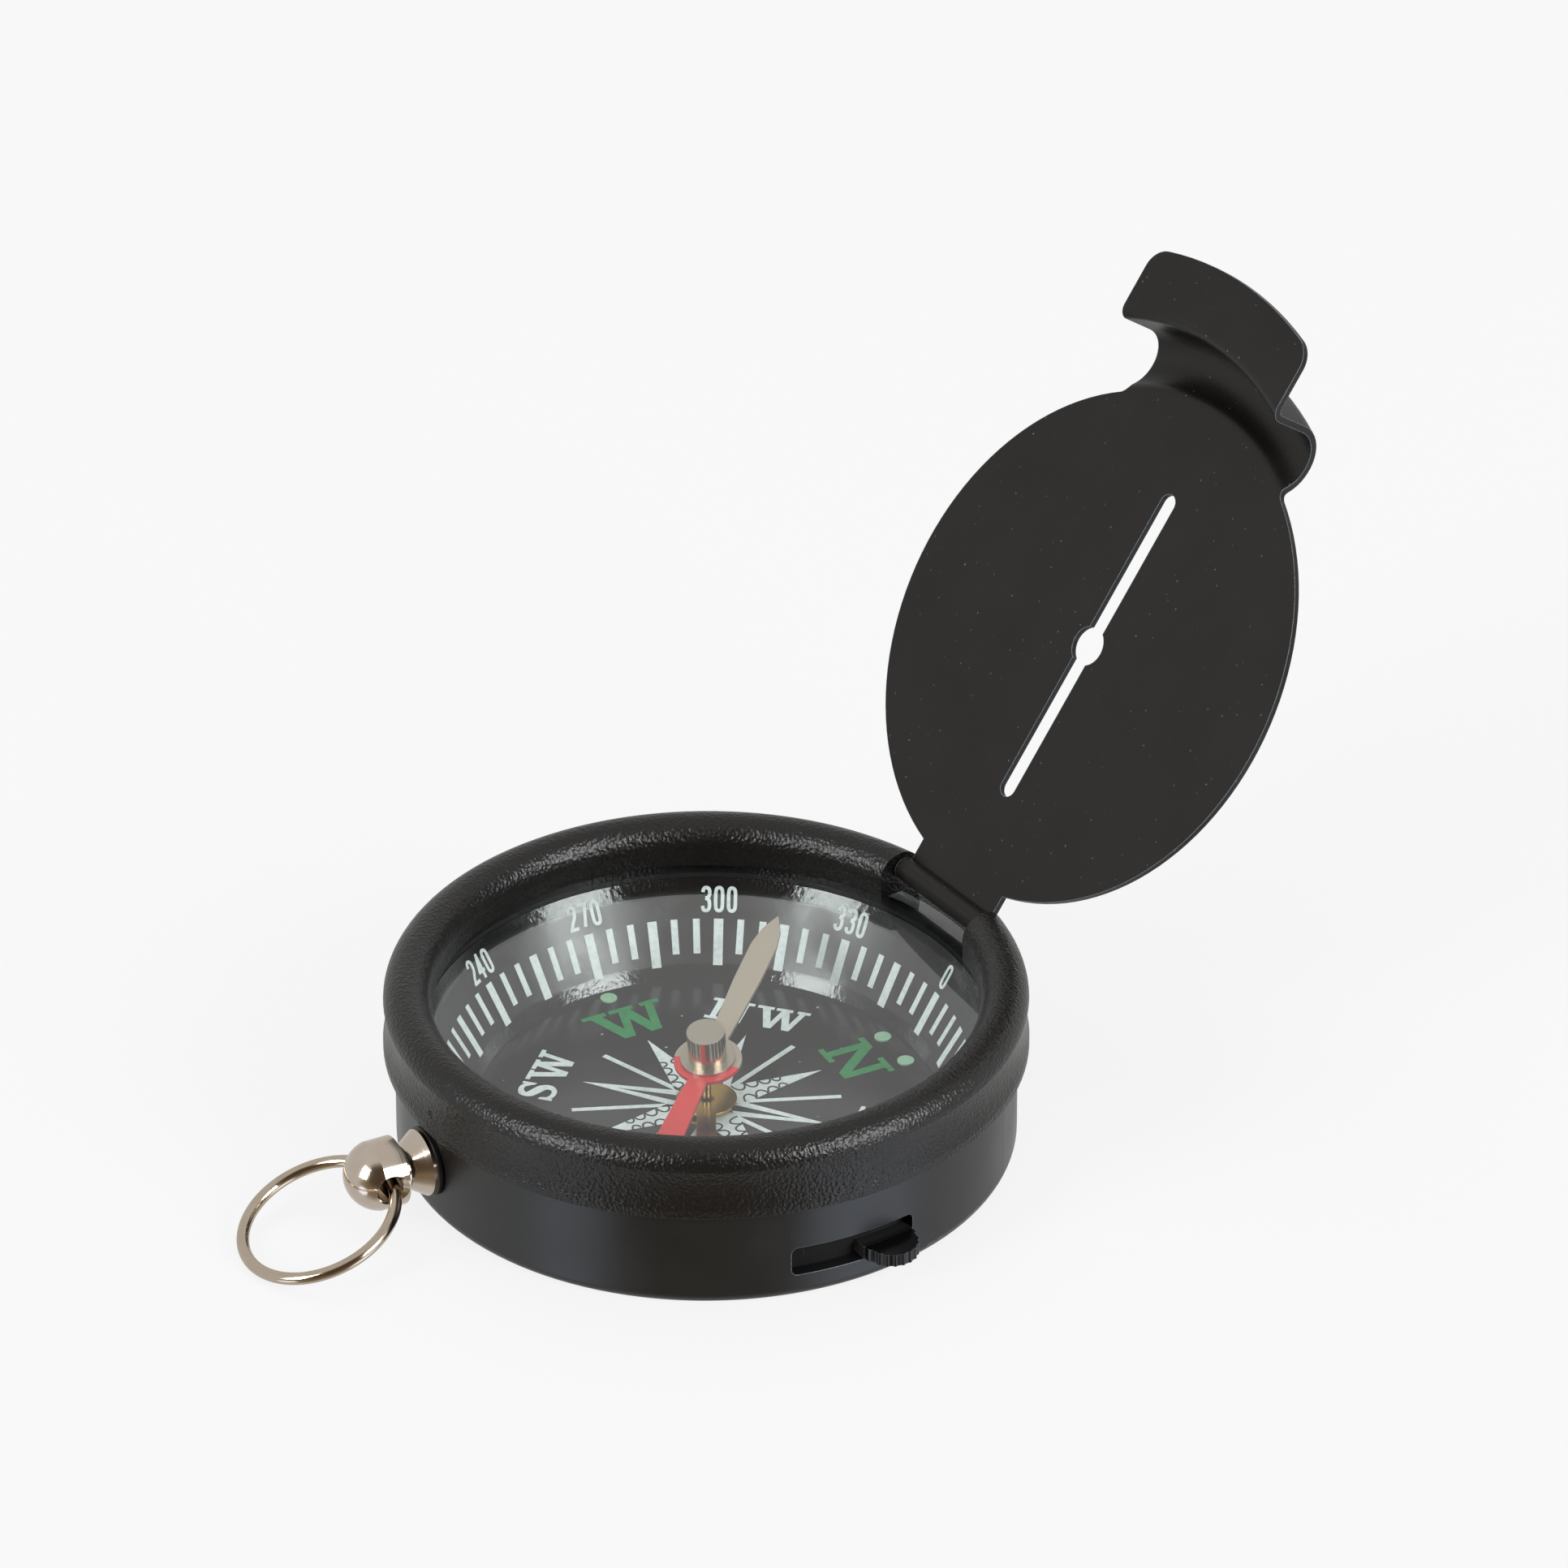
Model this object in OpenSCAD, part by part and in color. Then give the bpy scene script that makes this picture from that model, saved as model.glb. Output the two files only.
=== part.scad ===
// Pocket compass with a sighting lid, a needle lock and a swivelling lanyard ring.
// Origin: centre of the flat base. +Z up, +Y towards the dial's north, +X towards the lock.

/* [Case] */
// Outer radius of the case wall
case_r = 24.1; // [20:0.1:30]
// Thickness of the case wall
case_wall = 1.1; // [0.9:0.05:1.5]
// Thickness of the floor
floor_t = 1.0; // [0.8:0.1:1.5]
// Height of the raised deck that carries the dial, above the floor
deck_h = 1.0; // [0.7:0.1:1.5]
// Width of the channel between the deck and the wall
channel_w = 3.5; // [3:0.1:4]
// Height of the case wall above the base
case_h = 9.6; // [9:0.1:11]
// Rounding of the bottom edge
case_round = 0.9; // [0.3:0.1:1.5]

/* [Bezel] */
// Turn of the bezel and its hinge from the dial's north, in degrees
bezel_turn = 8; // [-30:1:30]
// Thickness of the bezel's skirt
skirt_t = 0.88; // [0.7:0.02:1.2]
// Overlap of the skirt over the case wall
skirt_drop = 1.1; // [0.8:0.1:1.8]
// Radius of the rolled rim's section
roll_r = 1.85; // [1.5:0.05:2.0]
// Distance of the rolled rim's middle inside the case wall's outer face
roll_inset = 1.0; // [0.8:0.05:1.2]
// Height of the middle of the rolled rim above the glass
roll_rise = 1.7; // [1.6:0.1:2]
// Depth of the waist between the skirt and the rim
waist_depth = 0.22; // [0:0.01:0.3]
// Radius of the waist's curve
waist_curve = 8; // [6:1:14]
// Width of the notch for the lid's knuckle
notch_w = 10.8; // [9:0.1:13]
// Depth of the notch below the top of the glass
notch_drop = 0.8; // [0.3:0.1:0.9]
// Radius of the staking dimple in the skirt
stake_r = 0.45; // [0.3:0.05:0.6]
// Depth of the staking dimple
stake_depth = 0.25; // [0.1:0.05:0.4]
// Place of the staking dimple round the case, in degrees
stake_at = -85.5; // [-100:0.5:-80]
// Height of the staking dimple above the skirt's edge
stake_rise = 1.7; // [1:0.1:2]

/* [Glass] */
// Thickness of the glass
glass_t = 1.2; // [0.8:0.1:1.5]
// Thickness of the gasket under the glass
gasket_t = 0.4; // [0.3:0.05:0.6]
// Width of the gasket
gasket_w = 0.9; // [0.6:0.1:1]
// Width of the bezel's lip over the glass
lip_w = 1.7; // [1.4:0.1:2]

/* [Dial] */
// Thickness of the dial plate
dial_t = 0.5; // [0.3:0.1:0.8]
// Distance of the degree ring's foot inside the deck's edge
scale_foot_set = 1.6; // [1.5:0.1:2]
// Width of the degree ring's rim
scale_rim_w = 1.0; // [0.8:0.05:1.3]
// Width of the degree ring's foot
scale_foot_w = 1.4; // [1.1:0.1:1.5]
// Depth of the degree ring's upright rim
scale_rim_h = 1.0; // [0.7:0.1:1.5]
// Radius of a luminous dot
lume_r = 0.66; // [0.4:0.02:0.9]
// Height of a luminous dot above the dial
lume_h = 0.12; // [0.08:0.02:0.2]
// Distance of the north dots inside the degree ring
lume_north_set = 1.3; // [1:0.1:4]
// Distance of the other dots inside the degree ring
lume_set = 1.1; // [0.9:0.1:3]
// Angle of each north dot from north, in degrees
lume_spread = 6.6; // [4:0.2:10]

/* [Needle] */
// Dial bearing of the needle's plain end, in degrees
needle_at = 316.5; // [0:0.5:359.5]
// Gap between the needle's low end and the dial
low_end_gap = 0.63; // [0.4:0.01:1.5]
// Gap between the needle's high end and the glass
high_end_gap = 0.3; // [0.2:0.01:1]
// Distance of the needle's ends inside the degree ring
needle_set = 0.8; // [0.7:0.1:3]
// Greatest width of the needle
needle_w = 2.1; // [1.6:0.1:2.6]
// Width of the needle beside its cap
needle_neck_w = 1.5; // [1.2:0.1:2]
// Thickness of the needle
needle_t = 0.3; // [0.2:0.05:0.4]
// Radius of the needle's middle ring
needle_hub_r = 2.66; // [2.4:0.02:3]
// Radius of the cap
cap_r = 1.5; // [1.3:0.05:1.6]
// Height of the cap above the needle
cap_h = 2.85; // [2.6:0.05:2.9]
// Radius of the cap's flange
flange_r = 2.13; // [1.9:0.01:2.3]
// Thickness of the cap's flange
flange_t = 0.25; // [0.15:0.05:0.3]
// Depth of the pivot point above the top of the needle
pivot_seat = 1.9; // [1.8:0.05:2]
// Radius of the cap's bore
cap_bore = 0.85; // [0.8:0.05:0.95]
// Radius of the jewel in the cap
jewel_r = 0.6; // [0.5:0.05:0.7]
// Thickness of the jewel
jewel_t = 0.6; // [0.5:0.05:0.7]
// Depth of the jewel's hollow
jewel_dip = 0.35; // [0.2:0.05:0.4]

/* [Pivot] */
// Radius of the pivot pin
pivot_r = 0.35; // [0.25:0.05:0.4]
// Distance of the pivot's point below the glass
pivot_drop = 1.4; // [1.35:0.05:1.6]
// Length of the pivot's taper
pivot_taper = 2.2; // [1.5:0.1:3]
// Radius of the pivot's point
pivot_point_r = 0.06; // [0.03:0.01:0.1]
// Depth of the pivot pin in the deck
pivot_sink = 1.4; // [1:0.1:1.6]
// Radius of the pivot bush's flange
bush_r = 1.5; // [1.2:0.1:1.8]
// Height of the bush's flange above the dial
bush_t = 0.2; // [0.1:0.02:0.22]
// Radius of the bush below its flange
bush_stem_r = 0.95; // [0.8:0.05:1.1]

/* [Needle lock] */
// Middle of the slot in the case wall, in degrees
slot_at = 0.9; // [-10:0.1:10]
// Length of the slot round the wall
slot_len = 10.6; // [9:0.1:12]
// Height of the slot
slot_h = 2.45; // [2.1:0.05:3]
// Height of the slot's middle above the base
slot_z = 3.3; // [3.2:0.05:3.6]
// Rounding of the slot's corners
slot_round = 0.5; // [0.2:0.05:0.8]
// Width of the slide's thumb piece at the wall
thumb_w = 4.6; // [4:0.1:5]
// Width of the thumb piece at its end
thumb_end_w = 4.2; // [3:0.1:4.6]
// Reach of the thumb piece from the case wall
thumb_reach = 2.6; // [2.3:0.1:3]
// Thickness of the thumb piece at the wall
thumb_t = 1.1; // [0.9:0.05:1.8]
// Thickness of the thumb piece at its end
thumb_end_t = 1.0; // [0.8:0.05:1.6]
// Number of ribs on the thumb piece
thumb_ribs = 8; // [5:1:10]
// Radius of a rib on the thumb piece
rib_r = 0.2; // [0.12:0.01:0.25]
// Angle that the ribs cover, in degrees
rib_span = 130; // [90:5:150]
// Thickness of the slide behind the wall
slide_t = 1.1; // [0.8:0.05:1.2]
// Height of the slide behind the wall
slide_h = 3.8; // [3.4:0.1:4.2]
// Height of the slide's finger
finger_h = 1.2; // [0.8:0.1:1.5]
// Radial thickness of the slide's finger
finger_t = 0.7; // [0.5:0.05:0.8]
// Angle that the slide lifts the lever, in degrees
lever_lift = 5; // [3:0.5:6]
// Dial bearing of the lever's arm, in degrees
lever_at = 117.6; // [114:0.1:121]
// Thickness of the lever
lever_t = 0.25; // [0.2:0.05:0.3]
// Width of the lever's arm
lever_w = 1.5; // [1.2:0.1:1.6]
// Radius of the lever's eye
eye_r = 2.37; // [2.1:0.01:2.6]
// Radius of the hole in the eye
eye_hole_r = 0.6; // [0.5:0.05:0.8]
// Distance of the lever's hinge from the deck's edge
lever_hinge_set = 1.1; // [1:0.05:1.3]
// Gap between the lever's tail and the case wall
tail_gap = 0.8; // [0.5:0.05:1]
// Radius of the lever's knuckle
lever_knuckle_r = 0.5; // [0.48:0.01:0.55]
// Radius of the lever's pin
lever_pin_r = 0.3; // [0.25:0.01:0.33]
// Width of each lug that holds the lever's pin
lug_w = 1.0; // [0.7:0.1:1.2]
// Length of each lug along the lever
lug_len = 1.2; // [1:0.1:1.3]

/* [Lid] */
// Gap between the lid's disc and the bezel's opening
lid_gap = 0.64; // [0.4:0.02:2]
// Thickness of the lid's sheet
lid_t = 0.5; // [0.4:0.05:0.55]
// Angle that the lid stands open, in degrees
open_angle = 126.6; // [0:0.2:170]
// Distance of the hinge inside the middle of the rolled rim
hinge_inset = 0.4; // [0.2:0.05:0.6]
// Height of the hinge above the middle of the rolled rim
hinge_rise = 0.5; // [0.3:0.05:0.7]
// Height of the closed lid's inner face above the hinge
lid_rise = 0.28; // [0.15:0.01:0.4]
// Radius of the hinge pin
pin_r = 0.4; // [0.3:0.05:0.5]
// Length of the hinge pin in the bezel at each end
pin_hold = 2.1; // [1.5:0.1:2.5]
// Width of the lid's arch and tab
strip_w = 19.6; // [14:0.2:21]
// Gap between the arch and the side of the rolled rim
arch_gap = 0.4; // [0.35:0.01:0.5]
// Gap between the arch and the top of the rolled rim
arch_top_gap = 0.1; // [0.05:0.01:0.3]
// Length of the tab from the arch's outer face
tab_len = 5.05; // [4:0.05:7]
// Drop of the tab's inner face below the lid's inner face
tab_drop = 5.0; // [4.6:0.1:5.2]
// Radius of the tab's outer corners
tab_corner = 2.0; // [0.5:0.1:3]
// Radius inside the bend at the tab's root
bend_r = 0.5; // [0.3:0.05:0.8]
// Radius of the corners between the disc and the arch
arch_corner = 1.2; // [0.6:0.1:2]
// Distance of the sighting slot's ends from the disc's edge
sight_set = 7.16; // [4:0.02:10]
// Width of the sighting slot
sight_w = 1.6; // [1:0.1:2.4]
// Radius of the sighting hole
sight_hole_r = 1.6; // [1:0.1:2.5]
// Width of the open seam in the rolled knuckle
seam_w = 0.14; // [0.08:0.01:0.2]

/* [Lanyard] */
// Gap between the lanyard post's washer and the bezel's skirt
post_gap = 1.09; // [0.6:0.01:1.5]
// Radius of the black washer
washer_r = 2.75; // [2.5:0.05:3]
// Thickness of the black washer
washer_t = 0.3; // [0.2:0.05:0.5]
// Radius of the cone's rim
cone_r = 2.65; // [2.3:0.05:2.9]
// Thickness of the cone's rim
cone_rim = 0.35; // [0.2:0.05:0.5]
// Length of the cone
cone_len = 1.45; // [1:0.05:2]
// Radius of the waist between the cone and the head
neck_r = 1.7; // [1.3:0.05:1.8]
// Length of the neck behind the head
neck_len = 0.6; // [0.3:0.05:1]
// Radius of the sleeve that passes through the case wall
sleeve_r = 1.5; // [1.4:0.05:1.7]
// Radius of the swivel's stem
stem_r = 0.8; // [0.6:0.05:0.9]
// Radius of the clip on the stem's inner end
clip_r = 1.4; // [1.2:0.05:1.6]
// Thickness of the clip
clip_t = 0.35; // [0.25:0.05:0.5]
// Radius of the swivel's head
head_r = 2.75; // [2.5:0.05:3.1]
// Length of the head's straight band
band_len = 2.0; // [1.8:0.1:2.6]
// Height of the head's dome
dome_h = 2.2; // [1.8:0.1:2.6]
// Distance of the ring's hole from the back of the head
hole_set = 1.55; // [1.5:0.05:1.8]
// Radius of the ring's hole
ring_hole_r = 1.1; // [1.05:0.05:1.2]
// Width of the chamfer at the hole's mouths
hole_chamfer = 0.2; // [0.1:0.05:0.3]
// Radius of the ring to the middle of its wire
ring_r = 6.2; // [5.5:0.1:7]
// Radius of the ring's wire
wire_r = 0.49; // [0.4:0.01:0.5]
// Sideways lean of the ring in its hole, in degrees
lean_angle = 8; // [0:1:8]

/* [Hidden] */
$fn = 96;
fine_fn = 48;
// Clearances
run = 0.03;         // running fits on pins
seat = 0.02;        // fixed round fits
slip = 0.05;        // flat running faces
slide_gap = 0.1;    // slide to wall, floor and slot ends
side_gap = 0.1;     // between a knuckle and its lugs
glass_gap = 0.05;   // glass in its seat
rim_gap = 0.1;      // between the glass's underside and the top of the wall
glass_lap = 0.2;    // of the glass over the case wall
over = 1.0;         // overrun of cuts
ring_slack = 0.4;   // how far the ring's wire lies off the hole's axis
tail_side_gap = 0.3; // between the finger's tip and the tail
// Heights
case_in_r = case_r - case_wall;
deck_r = case_in_r - channel_w;
deck_z = floor_t + deck_h;
dial_top = deck_z + dial_t;
dial_r = deck_r - glass_gap * 2;
glass_bot = case_h + rim_gap;
glass_top = glass_bot + glass_t;
glass_r = case_in_r + glass_lap;
glass_seat_r = glass_r + glass_gap;
gasket_bot = glass_bot - gasket_t;
aperture_r = case_in_r - lip_w;
scale_out_r = case_in_r - glass_gap;
scale_top_r = scale_out_r - scale_rim_w;
scale_foot_r = deck_r - scale_foot_set;
roll_track = case_r - roll_inset;
roll_z = glass_top + roll_rise;
roll_top = roll_z + roll_r;
skirt_in_r = case_r + seat;
skirt_r = skirt_in_r + skirt_t;
skirt_z = case_h - skirt_drop;
// Hinge
hinge_track = roll_track - hinge_inset;
pin_len = notch_w + 2 * pin_hold;
lid_r = aperture_r - lid_gap;
sight_len = 2 * (lid_r - sight_set);
hinge_z = roll_z + hinge_rise;
lid_z = hinge_z + lid_rise;
knuckle_bore = pin_r + seat;
knuckle_r = knuckle_bore + lid_t;
knuckle_len = notch_w - 4 * side_gap;
arch_in = roll_r + arch_gap;
arch_z = roll_top + arch_top_gap - arch_in;
tab_z = lid_z - tab_drop;
leg_r = roll_track + arch_in;
tab_reach = leg_r + lid_t + tab_len;
// The bend at the disc's edge touches the disc's middle plane and the arch's middle line
arch_rise = lid_z + lid_t / 2 - arch_z;
arch_mid = arch_in + lid_t / 2;
foot_mid = (pow(roll_track - lid_r, 2) + pow(arch_rise, 2) - pow(arch_mid, 2)) / (2 * (arch_mid - arch_rise));
// Needle
needle_az = 90 - needle_at;
pivot_z = glass_bot - pivot_drop;
needle_len = scale_foot_r - needle_set;
low_room = pivot_z - pivot_seat - needle_t - dial_top - low_end_gap;
high_room = pivot_drop + pivot_seat - high_end_gap;
needle_dip = asin(min(low_room, high_room) / needle_len);
// Lever and slide
lever_az = 90 - lever_at;
lever_hinge_r = deck_r + lever_hinge_set;
tail_r = case_in_r - tail_gap;
lever_z = dial_top + bush_t + slip;
lever_pin_z = lever_z + lever_t + side_gap - lever_knuckle_r;
lug_in = lever_w / 2 + side_gap;
lever_pin_len = 2 * (lug_in + lug_w);
lug_top = lever_pin_z + lever_pin_r + lever_knuckle_r / 2;
deg = 180 / PI;
slot_half = slot_len / case_r / 2 * deg;
thumb_half = thumb_w / case_r / 2 * deg;
gap_deg = slide_gap / case_r * deg;
slide_at = slot_at + slot_half - thumb_half - gap_deg;
slide_travel = 2 * (slot_half - thumb_half - gap_deg);
slide_out_r = case_in_r - slide_gap;
thumb_z = slot_z - slot_h / 2 + slide_gap + thumb_t / 2;
slide_in_r = slide_out_r - slide_t;
finger_mid_r = slide_in_r + slide_t / 2;
tail_half = lever_w / 2 / finger_mid_r * deg;
finger_from = lever_az + tail_half + tail_side_gap / finger_mid_r * deg;
cover_from = finger_from + slide_travel;
cover_to = slot_at + slot_half + slide_travel;
finger_to = cover_from + slide_t / finger_mid_r * deg;
finger_mid = (finger_from + finger_to) / 2;
finger_len = (finger_to - finger_from) / deg * finger_mid_r;
finger_z = lever_z + lever_t + slip;
ramp_fall = slip + (finger_mid_r - finger_t / 2 - lever_hinge_r) * sin(lever_lift);
// Lanyard, measured outwards along -Y
post_z = skirt_z - washer_r - post_gap;
washer_y = case_r;
cone_y = washer_y + washer_t;
neck_y = cone_y + cone_rim + cone_len + slip;
head_y = neck_y + neck_len;
hole_y = head_y + hole_set;
dome_y = head_y + band_len;
dome_r = (head_r * head_r + dome_h * dome_h) / (2 * dome_h);
clip_y = case_in_r - 2 * slip - clip_t;
// The ring lies on the ground that the base stands on
ring_fall = asin((post_z - wire_r - seat) / ((ring_r - ring_slack) * cos(lean_angle) + ring_r));

// A band round the axis: inner and outer radius, heights, from one angle to another
module band(r0, r1, z0, z1, a0, a1) {
    rotate([0, 0, a0]) rotate_extrude(angle = a1 - a0)
        translate([r0, z0]) square([r1 - r0, z1 - z0]);
}

// A cylinder laid along -Y from y0 to y1, at the post's height
module post_bar(r0, r1, y0, y1) {
    translate([0, -y0, post_z]) rotate([90, 0, 0])
        cylinder(r1 = r0, r2 = r1, h = y1 - y0, $fn = fine_fn);
}

// Turned cup with a raised deck, a slot for the lock and two lugs for the lever
module case() {
    color([0.09, 0.09, 0.1]) difference() {
        union() {
            rotate([0, 0, 45]) rotate_extrude() difference() {
                union() {
                    square([case_r - case_round, deck_z]);
                    translate([case_r - case_round, case_round]) circle(r = case_round);
                    translate([0, case_round]) square([case_r, case_h - case_round]);
                }
                translate([0, deck_z]) square([case_in_r, case_h]);
                translate([deck_r, floor_t]) square([case_in_r - deck_r, case_h]);
            }
            rotate([0, 0, lever_az]) for (s = [-1, 1])
                translate([lever_hinge_r - lug_len / 2, s * (lug_in + lug_w / 2) - lug_w / 2, floor_t / 2])
                    cube([lug_len, lug_w, lug_top - floor_t / 2]);
        }
        lock_slot();
        post_bar(sleeve_r + seat, sleeve_r + seat, case_in_r - over, case_r + over);
        rotate([0, 0, lever_az]) translate([lever_hinge_r, lever_pin_len / 2, lever_pin_z])
            rotate([90, 0, 0]) cylinder(r = lever_pin_r + seat, h = lever_pin_len, $fn = fine_fn);
        translate([0, 0, deck_z - pivot_sink]) cylinder(r = bush_stem_r + seat, h = deck_z, $fn = fine_fn);
    }
}

// Slot through the case wall with rounded corners, cut straight outwards
module lock_slot() {
    in_x = case_r * sin(slot_half) - slot_round;
    in_y = slot_h / 2 - slot_round;
    rotate([0, 0, slot_at]) translate([case_in_r - over, 0, slot_z]) rotate([90, 0, 90])
        linear_extrude(case_wall + 2 * over)
            polygon([for (q = [0:3], a = [0:30:90])
                [(q == 0 || q == 3 ? in_x : -in_x) + slot_round * cos(90 * q + a),
                 (q < 2 ? in_y : -in_y) + slot_round * sin(90 * q + a)]]);
}

// Skirt, waist and rolled rim turned in one piece, notched for the lid's knuckle
module bezel() {
    color([0.06, 0.06, 0.07]) difference() {
        rotate_extrude() difference() {
            union() {
                translate([skirt_in_r, skirt_z]) square([skirt_r - skirt_in_r, case_h - skirt_z]);
                translate([glass_seat_r, case_h]) square([skirt_r - glass_seat_r, glass_top - case_h]);
                translate([aperture_r, glass_top]) square([skirt_r - aperture_r, roll_z - glass_top]);
                translate([roll_track, roll_z]) circle(r = roll_r);
            }
            translate([skirt_r - waist_depth + waist_curve, (skirt_z + roll_z) / 2 + stake_r])
                circle(r = waist_curve, $fn = 4 * fine_fn);
            translate([0, case_h]) square([glass_seat_r, glass_top - case_h]);
        }
        rotate([0, 0, bezel_turn]) {
            translate([-notch_w / 2, aperture_r - roll_r, glass_top - notch_drop])
                cube([notch_w, skirt_r - aperture_r + roll_r + over, roll_top]);
            translate([-pin_len / 2, hinge_track, hinge_z]) rotate([0, 90, 0])
                cylinder(r = pin_r + seat, h = pin_len, $fn = fine_fn);
        }
        rotate([0, 0, stake_at]) translate([skirt_r - stake_depth, 0, skirt_z + stake_rise])
            rotate([0, 90, 0]) cylinder(r1 = stake_r * 0.6, r2 = stake_r, h = stake_depth, $fn = fine_fn);
    }
}

module glass() {
    color([0.8, 0.88, 0.86, 0.35]) translate([0, 0, glass_bot]) cylinder(r = glass_r, h = glass_t);
}

module gasket() {
    color([0.05, 0.05, 0.05]) rotate_extrude()
        translate([scale_out_r - gasket_w, gasket_bot]) square([gasket_w, gasket_t]);
}

// Sloping degree ring with an upright rim and a window for the lever
module scale_ring() {
    color([0.08, 0.08, 0.09]) difference() {
        rotate_extrude() polygon([
            [scale_foot_r, dial_top],
            [scale_foot_r + scale_foot_w, dial_top],
            [scale_out_r, gasket_bot - scale_rim_h],
            [scale_out_r, gasket_bot],
            [scale_top_r, gasket_bot]]);
        rotate([0, 0, lever_az]) translate([scale_foot_r - over, -lug_in, dial_top - over])
            cube([lever_hinge_r - scale_foot_r, 2 * lug_in, over + lever_z - dial_top + 3 * lever_t]);
    }
}

module dial_plate() {
    color([0.1, 0.1, 0.11]) translate([0, 0, deck_z]) difference() {
        cylinder(r = dial_r, h = dial_t);
        translate([0, 0, -over]) cylinder(r = bush_stem_r + seat, h = dial_t + 2 * over, $fn = fine_fn);
    }
}

// Luminous dots: two at north, one at each other main point
module lume_dots() {
    color([0.78, 0.88, 0.72]) {
        for (s = [-1, 1]) lume_dot(scale_foot_r - lume_north_set, s * lume_spread);
        for (a = [90, 180, 270]) lume_dot(scale_foot_r - lume_set, a);
    }
}

module lume_dot(r, bearing) {
    rotate([0, 0, 90 - bearing]) translate([r, 0, dial_top]) cylinder(r = lume_r, h = lume_h, $fn = fine_fn);
}

// Flanged brass bush that holds the pivot
module pivot_bush() {
    color([0.72, 0.55, 0.28]) difference() {
        union() {
            translate([0, 0, dial_top]) cylinder(r = bush_r, h = bush_t, $fn = fine_fn);
            translate([0, 0, deck_z - pivot_sink]) cylinder(r = bush_stem_r, h = dial_t + pivot_sink, $fn = fine_fn);
        }
        translate([0, 0, deck_z - pivot_sink]) cylinder(r = pivot_r + seat, h = dial_top + bush_t, $fn = fine_fn);
    }
}

module pivot_pin() {
    color([0.75, 0.75, 0.76]) {
        translate([0, 0, deck_z - pivot_sink])
            cylinder(r = pivot_r, h = pivot_z - deck_z + pivot_sink - pivot_taper, $fn = fine_fn);
        translate([0, 0, pivot_z - pivot_taper])
            cylinder(r1 = pivot_r, r2 = pivot_point_r, h = pivot_taper, $fn = fine_fn);
    }
}

// Places a child in the needle's own frame: pivot point at 0, plain end along +X
module on_needle() {
    translate([0, 0, pivot_z]) rotate([0, 0, needle_az]) rotate([0, -needle_dip, 0]) children();
}

// Along one half of the needle: share of its length, share of its swelling
needle_shares = [[0.55, 1], [0.79, 1], [0.9, 0]];

module needle() {
    xs = [for (p = needle_shares) needle_len * p[0]];
    ys = [for (p = needle_shares) (needle_neck_w + (needle_w - needle_neck_w) * p[1]) / 2];
    neck_x = needle_hub_r - needle_t;
    half = concat([[neck_x, needle_neck_w / 2]], [for (i = [0:2]) [xs[i], ys[i]]], [[needle_len, 0]],
        [for (i = [2:-1:0]) [xs[i], -ys[i]]], [[neck_x, -needle_neck_w / 2]]);
    color([0.7, 0.67, 0.63]) on_needle() translate([0, 0, -pivot_seat - needle_t]) difference() {
        union() {
            cylinder(r = needle_hub_r, h = needle_t);
            linear_extrude(needle_t) polygon(concat(half, [for (p = half) -p]));
        }
        translate([0, 0, -over]) cylinder(r = cap_bore, h = needle_t + 2 * over, $fn = fine_fn);
    }
}

module needle_cap() {
    color([0.8, 0.77, 0.73]) on_needle() translate([0, 0, -pivot_seat]) difference() {
        union() {
            cylinder(r = flange_r, h = flange_t, $fn = fine_fn);
            cylinder(r = cap_r, h = cap_h, $fn = fine_fn);
        }
        translate([0, 0, -over])
            cylinder(r = cap_bore, h = over + pivot_seat + seat - jewel_dip, $fn = fine_fn);
        cylinder(r = jewel_r + seat, h = pivot_seat + seat - jewel_dip + jewel_t, $fn = fine_fn);
    }
}

module jewel() {
    color([0.75, 0.2, 0.3]) on_needle() translate([0, 0, seat - jewel_dip]) difference() {
        cylinder(r = jewel_r, h = jewel_t, $fn = fine_fn);
        cylinder(r1 = jewel_dip + pivot_point_r, r2 = pivot_point_r, h = jewel_dip, $fn = fine_fn);
    }
}

// Brass lever: eye round the pivot, long arm, knuckle on its pin and a tail
module lock_lever() {
    color([0.55, 0.4, 0.2]) rotate([0, 0, lever_az]) difference() {
        union() {
            translate([0, 0, lever_z]) linear_extrude(lever_t) {
                circle(r = eye_r, $fn = fine_fn);
                translate([0, -lever_w / 2]) square([tail_r, lever_w]);
            }
            translate([lever_hinge_r, lever_w / 2, lever_pin_z]) rotate([90, 0, 0])
                cylinder(r = lever_knuckle_r, h = lever_w, $fn = fine_fn);
        }
        translate([0, 0, lever_z - over]) cylinder(r = eye_hole_r, h = lever_t + 2 * over, $fn = fine_fn);
        translate([lever_hinge_r, lever_w, lever_pin_z]) rotate([90, 0, 0])
            cylinder(r = lever_pin_r + run, h = 2 * lever_w, $fn = fine_fn);
    }
}

module lever_pin() {
    color([0.6, 0.6, 0.62]) rotate([0, 0, lever_az])
        translate([lever_hinge_r, lever_pin_len / 2, lever_pin_z]) rotate([90, 0, 0])
            cylinder(r = lever_pin_r, h = lever_pin_len, $fn = fine_fn);
}

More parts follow.
